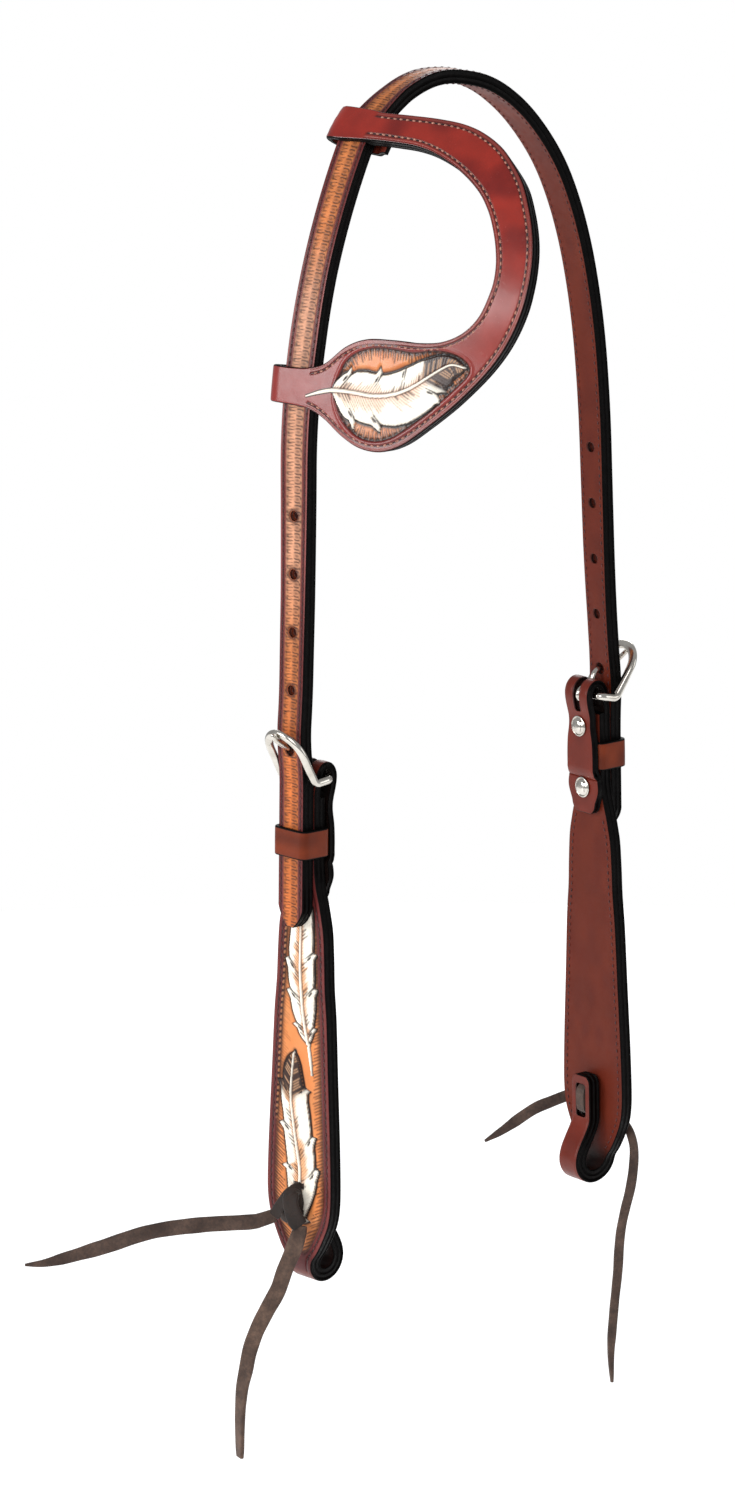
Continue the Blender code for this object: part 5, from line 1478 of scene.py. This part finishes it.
def cheek_lines(below, v, inner):
    """Slanting strokes in from both borders, and the row of beads on the rear one."""
    lines = panel_lines(below + 0.5 * np.abs(v), inner, 31.0 + (v > 0), 1.45, 3.6, 7.2)
    ahead = v > 0
    lines = lines * np.where(ahead, 1.0, 0.4 + 0.6 * ramp(below, 148, 162))
    dw = below - (np.floor(below / 2.7) + 0.5) * 2.7 + 0.5 * (inner - 0.1)
    beads = 1 - ramp(np.hypot(dw / 0.92, (inner + 0.05) / 0.6), 0.6, 1.1)
    return lines, beads * (~ahead) * ramp(below, 58, 60) * (1 - ramp(below, 150, 160))


def cheek_relief(l, v, d):
    front, rim, inner, below = cheek_zone(l, v)
    upper, lower = UPPER_FEATHER.parts(below, v), LOWER_FEATHER.parts(below, v)
    on = front & (below > 20)
    flat = (1 - upper["body"]) * (1 - lower["body"]) * (1 - upper["quill"]) * (1 - lower["quill"])
    lines, beads = cheek_lines(below, v, inner)
    ground = (-0.28 * ramp(inner, -0.15, 0.4) - 0.16 * lines) * flat
    crease = -0.25 * soft_line(inner + 0.1, 0.28) * flat + 0.3 * beads
    channel = -0.22 * soft_line(rim - 2.7, 0.5)
    carve = UPPER_FEATHER.relief(upper) + LOWER_FEATHER.relief(lower)
    under_billet = ramp(below, 46, 52)
    h = (ground + crease + carve) * under_billet + channel
    margin = -0.10 * soft_line(d - 1.1, 0.22)
    return np.where(on, h, margin)


def cheek_paint(l, v, d):
    front, rim, inner, below = cheek_zone(l, v)
    upper, lower = UPPER_FEATHER.parts(below, v), LOWER_FEATHER.parts(below, v)
    n1, n2 = value_noise(l / 7.0, v / 7.0, 21.0), value_noise(l / 1.1, v / 0.9, 22.0)
    border = mix(MAHOGANY, MAHOGANY_DARK, 0.5 * n1 + 0.4 * n2)
    border = mix(border, lin(26, 10, 11), 0.8 * soft_line(rim - 2.7, 0.6))
    # painted pink highlight along the rounded margin between the edge and the stitch row
    border = mix(border, lin(148, 74, 66), 0.15 * ramp(1.7 - rim, 0, 0.5) * ramp(rim, 0.5, 0.8))
    border = mix(border, lin(40, 18, 18), 0.5 * ramp(inner, -1.3, -0.1))
    tan = mix(TAN, lin(218, 130, 70), value_noise(l / 6.0, v / 6.0, 23.0))
    lines, beads = cheek_lines(below, v, inner)
    ground = mix(tan, lin(52, 28, 22), 0.95 * lines)
    ground = mix(ground, lin(70, 34, 22), 0.85 * ramp(3.2 - inner, 0, 3.0))
    col = mix(border, ground, ramp(inner, -0.15, 0.2))
    col = mix(col, lin(26, 12, 11), 0.9 * soft_line(inner, 0.95) * (v < 0) * (below < 155))
    col = mix(col, lin(178, 116, 78), 0.8 * beads)
    col = UPPER_FEATHER.paint(col, upper)
    col = LOWER_FEATHER.paint(col, lower)
    plain = mix(lin(108, 36, 22), lin(84, 26, 16), 0.8 * n1)
    smooth = (~front) | (below < 20)
    col = np.where(smooth[..., None], plain, col)
    col = mix(col, MAHOGANY_DARK, 0.6 * ramp(below, 210, 216) * front)
    col = mix(col, INK, 0.8 * ramp(0.5 - d, 0.0, 0.25) * (d >= 0))
    # the underside is painted near black as shadow, where it faces in towards the strap on the chape
    col = np.where((d < -0.5)[..., None], lin(20, 11, 9), col)
    mask = np.zeros(col.shape)
    mask[..., 1] = np.where(smooth, 0.8, ramp(-inner, 0, 0.3) * 0.6)
    return col, mask


def build_cheek(leg):
    c = CHEEK
    name = leg.side
    place = leg.on_cheek
    start, end = c.station("start", 55.0), c.span("tab")[1]
    roll, front, fold = c.span("roll"), c.span("front"), c.span("fold")
    panel = c.station("front", 52.0)
    tips = np.array([0, 0.1, 0.22, 0.4, 0.62, 0.9])
    rows = np.concatenate([start + tips, np.arange(start + 1.4, roll[0] - 4, 1.1),
                           np.arange(roll[0] - 4, front[0] + 8, 0.5), np.arange(front[0] + 8, panel, 1.3),
                           np.arange(panel, fold[0], 0.42), np.arange(fold[0], end - 1.4, 0.8), end - tips])
    slot_a, slot_b = c.station("start", 7.0), c.station("front", 6.4)
    tab_a, tab_b = c.station("tab", 197.3), c.station("tab", 181.3)
    slits = [(c.station("front", b), 1.4, 3.0, 0.5) for b in SLITS_AT]
    holes = [((slot_a + slot_b) / 2, (slot_b - slot_a) / 2, 1.9, 1.3)]
    tab_hole = ((tab_a + tab_b) / 2, (tab_b - tab_a) / 2, 3.15, 1.6)
    rivets = [(c.station(br, b), 1.75, 1.75, 1.75) for br in ("start", "front") for b in RIVETS_AT]
    r, gap = hole_rows(rows, holes + slits + [tab_hole] + rivets)
    w = cheek_half(r)
    edge = np.minimum(r - r[0], r[-1] - r)
    ob = ribbon(name + "_cheek_outer_leather", np.stack([r, -w], 1), np.stack([r, w], 1), place, OUT0, OUT1, 42,
                gap, edge, cheek_relief, cheek_paint, [TOOLED, EDGE], rnd=0.7)
    finish_piece(ob, "headstall", [name + "_cheek_outer"])
    lining = c.station("front", 8.4)
    rows = np.concatenate([lining + tips, np.arange(lining + 1.5, fold[0], 1.7), np.arange(fold[0], end - 1.4, 0.8),
                           end - tips])
    r, gap = hole_rows(rows, slits + [tab_hole] + [(c.station("front", b), 1.75, 1.75, 1.75) for b in RIVETS_AT])
    w = cheek_half(r)
    edge = np.minimum(r - r[0], r[-1] - r)
    flipped = lambda x, y, h: place(x, y, -np.asarray(h))
    ob = ribbon(name + "_cheek_lining_leather", np.stack([r, -w], 1), np.stack([r, w], 1), flipped, -LIN1, -LIN0,
                12, gap, edge, None, cheek_lining_fold_shadow_paint, [BACKING, EDGE], rnd=0.5)
    finish_piece(ob, "headstall", [name + "_cheek_lining"])
    # stitch lines follow the outline
    l = np.arange(c.station("front", 56.0), fold[0] + 2.0, 1.0)
    w = cheek_half(l)
    lean = np.gradient(w, l)
    off = 2.7 / np.sqrt(1 + lean ** 2)
    runs, back = [], []
    for sg in (-1, 1):
        line = np.stack([l + lean * off, sg * (w - off)], 1)
        line = line[np.argsort(line[:, 0])]
        runs.append((line, OUT1 - 0.03))
        back.append((line[line[:, 0] < fold[0] - 4], -LIN0))
    stitches(name + "_cheek_stitches", runs, place, [BROWN, HOLE_SHADOW], "headstall", name + "_cheek_outer",
             pitch=3.6, length=2.2, radius=0.42, sink=0.42, hole=0.80)
    stitches(name + "_cheek_back_stitches", back, flipped, [BROWN, HOLE_SHADOW], "headstall",
             name + "_cheek_lining", pitch=3.3, length=2.1, radius=0.34, sink=0.16, hole=0)


for leg in LEGS.values():
    build_cheek(leg)

# ------------------------------------------------------------------- hardware


def buckle_line(sag):
    half = (BUCKLE_INNER + 2 * BAR_R) / 2
    lean = math.radians(BUCKLE_LEAN)
    up = (math.sin(lean), math.cos(lean))
    bend, corner = 2.6, 3.0
    cu, cz = BUCKLE_CORNER
    start = math.atan2(cz, cu)
    side = []
    for k in range(13):
        a = math.radians(90 * k / 12)
        d = bend * (1 - math.cos(a))
        side.append((d * math.cos(start), d * math.sin(start), start, half - bend + bend * math.sin(a), 0.0))
    turn = math.radians(90) - lean - start
    cut = corner * math.tan(turn / 2)
    first = math.hypot(cu, cz) - cut
    centre = (first * math.cos(start) - corner * math.sin(start),
              first * math.sin(start) + corner * math.cos(start))
    for k in range(13):
        a = start + turn * k / 12
        side.append((centre[0] + corner * math.sin(a), centre[1] - corner * math.cos(a), a, half, 0.0))
    straight = BUCKLE_REACH - half
    for k in range(1, 9):
        d = cut + (straight - cut) * k / 8
        side.append((cu + up[0] * d, cz + up[1] * d, math.pi / 2 - lean, half, k / 8))
    for k in range(1, 19):
        a = math.radians(90 * k / 18)
        d = straight + half * math.sin(a)
        side.append((cu + up[0] * d, cz + up[1] * d, math.pi / 2 - lean, half * math.cos(a), 1.0))
    rings = [(0.0, v, 0.0, start, 0.0) for v in (-6.0, -3.0, 0.0, 3.0, 6.0)]
    rings += [(u, v, z, a, w) for u, z, a, v, w in side]
    rings += [(u, -v, z, a, w) for u, z, a, v, w in side[-2::-1]]
    t = math.radians(sag)
    return np.array([(u * math.cos(t) + z * math.sin(t), v, z * math.cos(t) - u * math.sin(t), a - t, w)
                     for u, v, z, a, w in rings])


def build_hardware(leg):
    name, hand = leg.side, leg.hand
    r = buckle_line(leg.sag)
    pts = r[:, :3]
    tangent = np.roll(pts, -1, 0) - np.roll(pts, 1, 0)
    tangent /= np.linalg.norm(tangent, axis=1)[:, None]
    through = np.stack([-np.sin(r[:, 3]), 0 * r[:, 3], np.cos(r[:, 3])], 1)
    across = np.cross(tangent, through)
    across /= np.linalg.norm(across, axis=1)[:, None]
    through = np.cross(across, tangent)
    share = r[:, 4]
    local = lambda p: leg.place(BAR_U + p[:, 0], p[:, 1], p[:, 2]) - leg.place(BAR_U, 0.0, 0.0)
    world = leg.place(BAR_U + pts[:, 0], pts[:, 1], pts[:, 2])
    ob = sweep(name + "_buckle", world, local(across), local(through), BAR_R + 0.28 * share,
               BAR_R - 0.30 * share, [NICKEL], sides=20, power=2.0 + 0.0, closed=True)
    finish_piece(ob, name + "_buckle", [name + "_buckle_frame"])
    # tongue
    mid = r[len(r) // 2 + 2]
    top = max(r, key=lambda q: q[2] * math.cos(math.radians(leg.sag)) + q[0] * 0.2)
    u, z, slope = top[0], top[2], top[3]
    rest = BAR_R - 0.25 + TONGUE_R * 0.85 + 0.3
    cu, cz = BAR_U + u + rest * math.sin(slope), z - rest * math.cos(slope)
    hu, hz = leg.hole
    front = BAR_U + EYE_R
    line = []
    for a in range(-260, 1, 13):
        r = EYE_R + 1.15 * math.exp(-((a + 175) / 48.0) ** 2)
        line.append((BAR_U + r * math.cos(math.radians(a)), r * math.sin(math.radians(a))))
    bent = smooth_line([(front, 0.0), (front, 2.6), (front + 0.3, hz - 4.6), (front + 1.3, hz - 2.0),
                        (-0.6, hz - 0.4), (1.6, hz), (hu + 3.0, hz + 0.1), (hu + 5.6, hz + 0.2),
                        (hu + 8.0, hz + 1.1), (cu - 2.2, cz - 2.0), (cu, cz), (cu + 1.5, cz + 2.2)], 5)[1:]
    line = np.vstack([np.array(line), bent])
    total = arc_lengths(line)
    d = np.gradient(line, axis=0)
    d /= np.linalg.norm(d, axis=1)[:, None]
    left = total[-1] - total
    rad = TONGUE_R * (0.86 + 0.14 * ramp(left, 2, 14)) * np.sqrt(np.clip(left / 1.4, 0.02, 1))
    rad = rad * np.sqrt(np.clip(total / 1.0, 0.05, 1))
    world = leg.place(line[:, 0], 0 * line[:, 0], line[:, 1])
    zero = leg.place(0.0, 0.0, 0.0)
    nrm = leg.place(-d[:, 1], 0 * d[:, 0], d[:, 0]) - zero
    acr = leg.place(0 * d[:, 0], 0 * d[:, 0] + 1.0, 0 * d[:, 0]) - zero
    # the eye is hammered wide where it wraps the bar
    eye = 1 - ramp(total, 14.0, 18.0)
    ob = sweep(name + "_tongue", world, acr, nrm, rad * (1.05 + 0.28 * eye), rad * (1 + 0.12 * eye), [NICKEL], sides=14)
    finish_piece(ob, name + "_tongue", [name + "_buckle_tongue"])
    # rivet caps: a thin flange and a low dome
    for label, below, z_at in (("upper", RIVETS_AT[0], -14.5), ("lower", RIVETS_AT[1], -43.0)):
        face = float(-6.4 - 1.75 * smoothstep((z_at + 37.8) / 3.2)
                     - (ROLL_U - BAR_U - 8.15) * smoothstep((z_at + 12) / 12)) - OUT1
        prof = [(0.0, -0.34), (CAP_R - 0.25, -0.34), (CAP_R - 0.05, -0.42), (CAP_R, -0.58), (CAP_R - 0.08, -0.76),
                (CAP_R - 0.35, -0.92), (4.12, -0.90), (3.92, -0.62), (3.72, -0.80), (3.4, -1.32), (2.85, -1.70), (2.2, -1.94),
                (1.4, -2.04), (0.7, -2.07), (0.0, -2.08)]
        sides = 40
        ang = 2 * math.pi * np.arange(sides) / sides
        rr = np.array([p[0] for p in prof])
        hh = np.array([p[1] for p in prof]) + face
        rr[0] = rr[-1] = 0.01
        w = leg.place(np.repeat(hh[:, None], sides, 1), rr[:, None] * np.cos(ang)[None, :],
                      rr[:, None] * np.sin(ang)[None, :] - below)
        idx = np.arange(len(prof) * sides).reshape(len(prof), sides)
        quads = grid_quads(np.concatenate([idx, idx[:, :1]], 1))
        ends = [np.stack([idx[e][0] * np.ones(sides - 2, int), idx[e][1:-1], idx[e][2:]], -1)[:, ::o]
                for e, o in ((0, 1), (-1, -1))]
        ob = make_mesh(f"{name}_rivet_{label}", w.reshape(-1, 3), quads, np.concatenate(ends), mats=[NICKEL],
                       sharp=55)
        finish_piece(ob, "headstall", [f"{name}_rivet_{label}_cap"])


for leg in LEGS.values():
    build_hardware(leg)


def keeper_paint(p, rim):
    col = mix(lin(118, 46, 18), lin(90, 32, 11), value_noise(p[:, 0] / 6.0, p[:, 2] / 5.0, 40.0))
    return mix(col, INK, rim)


def build_keeper(leg):
    """Leather loop: the section is a thin rounded bar carried round a soft rectangle."""
    name = leg.side
    cu, hu, hv, corner = 0.15, 6.55, 8.7, 2.0
    loop = []
    for sx, sy, a0 in ((1, 1, 0), (-1, 1, 90), (-1, -1, 180), (1, -1, 270)):
        for k in range(9):
            a = math.radians(a0 + 90 * k / 8)
            loop.append((cu + sx * (hu - corner) + corner * math.cos(a),
                         sy * (hv - corner) + corner * math.sin(a), math.cos(a), math.sin(a)))
    fine = []
    for a, b in zip(loop, loop[1:] + loop[:1]):
        n = max(1, int(math.hypot(b[0] - a[0], b[1] - a[1]) / 1.0))
        for k in range(n):
            t = k / n
            fine.append([a[j] + t * (b[j] - a[j]) for j in range(4)])
    fine = np.array(fine)
    n2 = np.hypot(fine[:, 2], fine[:, 3])
    nu, nv = fine[:, 2] / n2, fine[:, 3] / n2
    # front face bows out a little
    swell = 0.25 * np.clip(nu, 0, 1) * (1 - (fine[:, 1] / hv) ** 2)
    H, W, r = KEEPER_H / 2, KEEPER_WALL, 0.55
    prof, rim = [], []
    for k in range(6):
        a = math.radians(90 * k / 5)
        prof.append((W - r + r * math.sin(a), -H + r - r * math.cos(a)))
        rim.append(1.0 if k < 5 else 0.6)
    for z in np.linspace(-H + r + 0.35, H - r - 0.35, 9):
        prof.append((W + 0.05 * (1 - (z / H) ** 2), z))
        rim.append(0.0)
    for k in range(6):
        a = math.radians(90 * k / 5)
        prof.append((W - r + r * math.cos(a), H - r + r * math.sin(a)))
        rim.append(1.0 if k > 0 else 0.6)
    prof += [(0.3, H), (0.08, H - 0.1), (0.02, H - 0.4), (0.0, 0.0), (0.02, -H + 0.4), (0.08, -H + 0.1), (0.3, -H)]
    rim += [1.0] * 3 + [0.3] + [1.0] * 3
    prof, rim = np.array(prof), np.array(rim)
    o = prof[None, :, 0] + swell[:, None] * (prof[None, :, 0] > 0.5)
    u = fine[:, None, 0] + nu[:, None] * o
    v = fine[:, None, 1] + nv[:, None] * o
    z = np.broadcast_to(prof[None, :, 1] - KEEPER_AT, u.shape)
    w = leg.place(u, v, z)
    idx = np.arange(w.shape[0] * w.shape[1]).reshape(w.shape[:2])
    wrap = np.concatenate([idx, idx[:, :1]], 1)
    wrap = np.concatenate([wrap, wrap[:1]], 0)
    verts = w.reshape(-1, 3)
    rims = np.broadcast_to(rim[None, :], u.shape).ravel()
    paint = keeper_paint(verts, rims)
    mask = np.zeros(paint.shape)
    mask[:, 1] = 1.0
    quads = grid_quads(wrap)
    slots = ((rims[quads] > 0.5).sum(1) > 2).astype(int)
    ob = make_mesh(name + "_keeper_loop", verts, quads, paint=paint, mask=mask, slots=slots, mats=[TOOLED, EDGE])
    finish_piece(ob, name + "_keeper_ring", [name + "_keeper"])


for leg in LEGS.values():
    build_keeper(leg)

# ---------------------------------------------------------------------- knots


def strip(leg, route, width, thick, outward, closed=False):
    """Closed strip of lace for a knot; route and outward are in the leg's axes."""
    line = smooth_line(route, 8)
    out = smooth_line(outward, 8)
    t = np.gradient(line, axis=0)
    t /= np.linalg.norm(t, axis=1)[:, None]
    nrm = out - (out * t).sum(1)[:, None] * t
    nrm /= np.linalg.norm(nrm, axis=1)[:, None]
    acr = np.cross(t, nrm)
    sides = 16
    ang = 2 * math.pi * (np.arange(sides) + 0.5) / sides
    ca, sa = np.cos(ang), np.sin(ang)
    px, py = np.sign(ca) * np.abs(ca) ** 0.45, np.sign(sa) * np.abs(sa) ** 0.6
    share = np.linspace(0, 1, len(line))
    wob = 1 + 0.06 * np.sin(share * 9 + 1)
    wob = wob * (0.35 + 0.65 * ramp(share, 0.0, 0.3))
    if closed:
        wob = wob * (0.35 + 0.65 * ramp(1 - share, 0.0, 0.3))
    p = (line[:, None, :] + acr[:, None, :] * (px[None, :] * width / 2 * wob[:, None])[..., None]
         + nrm[:, None, :] * (py * thick / 2)[None, :, None])
    w = leg.place(p[..., 0], p[..., 1], p[..., 2])
    n = len(line)
    idx = np.arange(n * sides).reshape(n, sides)
    quads = grid_quads(np.concatenate([idx, idx[:, :1]], 1))
    tris = []
    for e, o in ((0, 1), (-1, -1)):
        ring = idx[e]
        tris.append(np.stack([ring[0] * np.ones(sides - 2, int), ring[1:-1], ring[2:]], -1)[:, ::o])
    return w.reshape(-1, 3), quads, np.concatenate(tris)


def build_knot(leg):
    name = leg.side
    m = -190.5
    # core
    nu, nv = 26, 34
    th = np.linspace(0.02, math.pi / 2, nu)
    ph = np.linspace(0, 2 * math.pi, nv, endpoint=False)
    T, P = np.meshgrid(th, ph, indexing="ij")
    lump = 1 + 0.05 * np.sin(3 * P + 1.0) * np.sin(T * 2) + 0.04 * np.sin(5 * P + T * 4)
    u = 0.5 + 7.3 * np.cos(T) ** 0.5 * lump
    taper = 1 - 0.35 * np.clip(np.sin(P), 0, 1)
    v = -0.7 + 4.7 * np.sin(T) ** 0.8 * np.cos(P) * lump * taper + 1.9 * np.clip(np.sin(P), 0, 1) ** 2
    z = m - 0.2 + (6.9 + 2.3 * np.clip(np.sin(P), 0, 1) ** 3) * np.sin(T) ** 0.8 * np.sin(P) * lump
    w = leg.place(u, v, z)
    idx = np.arange(nu * nv).reshape(nu, nv)
    quads = grid_quads(np.concatenate([idx, idx[:, :1]], 1))
    back = np.stack([idx[-1][0] * np.ones(nv - 2, int), idx[-1][1:-1], idx[-1][2:]], -1)
    front = np.stack([idx[0][0] * np.ones(nv - 2, int), idx[0][1:-1], idx[0][2:]], -1)[:, ::-1]
    parts = [(w.reshape(-1, 3), quads, np.concatenate([back, front]))]
    # one turn comes over the top and leaves to the rear, the other rises behind it and hangs in front
    parts.append(strip(leg, [(0.6, 1.4, m + 4.4), (4.4, 1.8, m + 6.4), (7.0, 1.0, m + 5.2), (8.2, -0.8, m + 1.9),
                             (8.5, -2.9, m - 1.5), (8.5, -4.8, m - 4.4), (8.6, -6.2, m - 6.0)], 5.2, 1.9,
                       [(0.1, 0.4, 1), (0.5, 0.3, 0.9), (0.85, 0.2, 0.45), (0.95, 0.2, 0.2), (0.9, 0.35, 0.2),
                        (0.75, 0.6, 0.3), (0.6, 0.75, 0.35)]))
    parts.append(strip(leg, [(1.0, -4.4, m + 1.2), (4.8, -4.6, m - 1.2), (7.0, -3.4, m - 4.0), (7.4, -0.9, m - 5.9),
                             (5.6, 1.2, m - 6.4), (0.8, 1.6, m - 5.6)], 4.4, 1.8,
                       [(0.3, -0.9, 0.1), (0.7, -0.7, 0), (1, -0.2, -0.2), (1, 0, -0.3), (0.8, 0.3, -0.4),
                        (0.3, 0.6, -0.6)], True))
    parts.append(strip(leg, [(0.8, 1.4, m + 4.2), (5.0, 2.2, m + 5.6), (7.3, 2.8, m + 3.2), (7.2, 3.2, m - 0.6),
                             (6.2, 4.2, m - 4.8), (5.2, 5.3, m - 7.6), (4.4, 5.9, m - 8.9)], 7.4, 2.0,
                       [(0.3, 0.4, 0.9), (0.6, 0.4, 0.8), (0.85, 0.45, 0.3), (0.85, 0.5, 0), (0.8, 0.6, 0),
                        (0.75, 0.65, 0), (0.72, 0.68, 0)]))
    verts, quads, tris, base = [], [], [], 0
    for pv, pq, pt in parts:
        verts.append(pv)
        quads.append(pq + base)
        tris.append(pt + base)
        base += len(pv)
    ob = make_mesh(name + "_knot", np.concatenate(verts), np.concatenate(quads), np.concatenate(tris),
                   mats=[LACE_DARK], sharp=60, flip=False)
    finish_piece(ob, "headstall", [name + "_lace_knot"])


for leg in LEGS.values():
    build_knot(leg)

# CAD nodes that stay as they are, with their own finishes
for node, mat in [(s + "_lace_bight", LACE) for s in LEGS] + [
        (f"{s}_rivet_{w}_post", NICKEL) for s in LEGS for w in ("upper", "lower")]:
    ob = bpy.data.objects[node]
    for slot in ob.material_slots:
        slot.material = mat

# ---------------------------------------------------------------------- stage


def add_stage():
    mat = bpy.data.materials.new("pale_floor")
    mat.use_nodes = True
    shader = mat.node_tree.nodes["Principled BSDF"]
    shader.inputs["Base Color"].default_value = (0.93, 0.93, 0.93, 1)
    shader.inputs["Roughness"].default_value = 0.9
    shader.inputs["Specular IOR Level"].default_value = 0.1
    shader.inputs["Emission Color"].default_value = (1, 1, 1, 1)
    shader.inputs["Emission Strength"].default_value = 0.55
    mesh = bpy.data.meshes.new("floor")
    z, r = -0.80, 1.7
    ring = [(r * math.cos(a), r * math.sin(a), z) for a in np.linspace(0, 2 * math.pi, 65)[:-1]]
    mesh.from_pydata(ring, [], [tuple(range(64))])
    mesh.materials.append(mat)
    floor = bpy.data.objects.new("floor", mesh)
    bpy.context.scene.collection.objects.link(floor)
    world = bpy.data.worlds.new("studio")
    bpy.context.scene.world = world
    world.use_nodes = True
    tree = world.node_tree
    plain = tree.nodes["Background"]
    plain.inputs["Color"].default_value = (1.0, 1.0, 1.0, 1)
    plain.inputs["Strength"].default_value = 1.0
    # the surroundings light the object less brightly than the white sweep behind it looks
    around = tree.nodes.new("ShaderNodeBackground")
    around.inputs["Color"].default_value = (0.97, 0.98, 1.0, 1)
    around.inputs["Strength"].default_value = 0.42
    path, join = tree.nodes.new("ShaderNodeLightPath"), tree.nodes.new("ShaderNodeMixShader")
    tree.links.new(path.outputs["Is Camera Ray"], join.inputs[0])
    tree.links.new(around.outputs[0], join.inputs[1])
    tree.links.new(plain.outputs[0], join.inputs[2])
    tree.links.new(join.outputs[0], tree.nodes["World Output"].inputs[0])

    def area(label, at, towards, size, power, tint=(1, 1, 1)):
        data = bpy.data.lights.new(label, "AREA")
        data.shape = "RECTANGLE"
        data.size, data.size_y = size
        data.energy = power
        data.color = tint
        ob = bpy.data.objects.new(label, data)
        bpy.context.scene.collection.objects.link(ob)
        ob.location = at
        ob.rotation_euler = (Vector(towards) - Vector(at)).to_track_quat("-Z", "Y").to_euler()

    area("key", (-2.3, -1.3, 1.0), (0, 0, -0.25), (1.4, 1.6), 30)
    area("sheen", (-2.3, 0.98, 0.22), (0, 0, -0.2), (1.0, 1.1), 32)
    area("rear", (2.0, 1.9, 0.8), (0, 0, -0.3), (1.4, 1.6), 20)
    area("fill", (1.6, -2.2, 0.3), (0, 0, -0.3), (1.2, 1.6), 9)
    scene = bpy.context.scene
    scene.view_settings.view_transform = "Standard"
    scene.view_settings.look = "None"
    scene.view_settings.exposure = 0.0
    scene.view_settings.gamma = 1.0


add_stage()
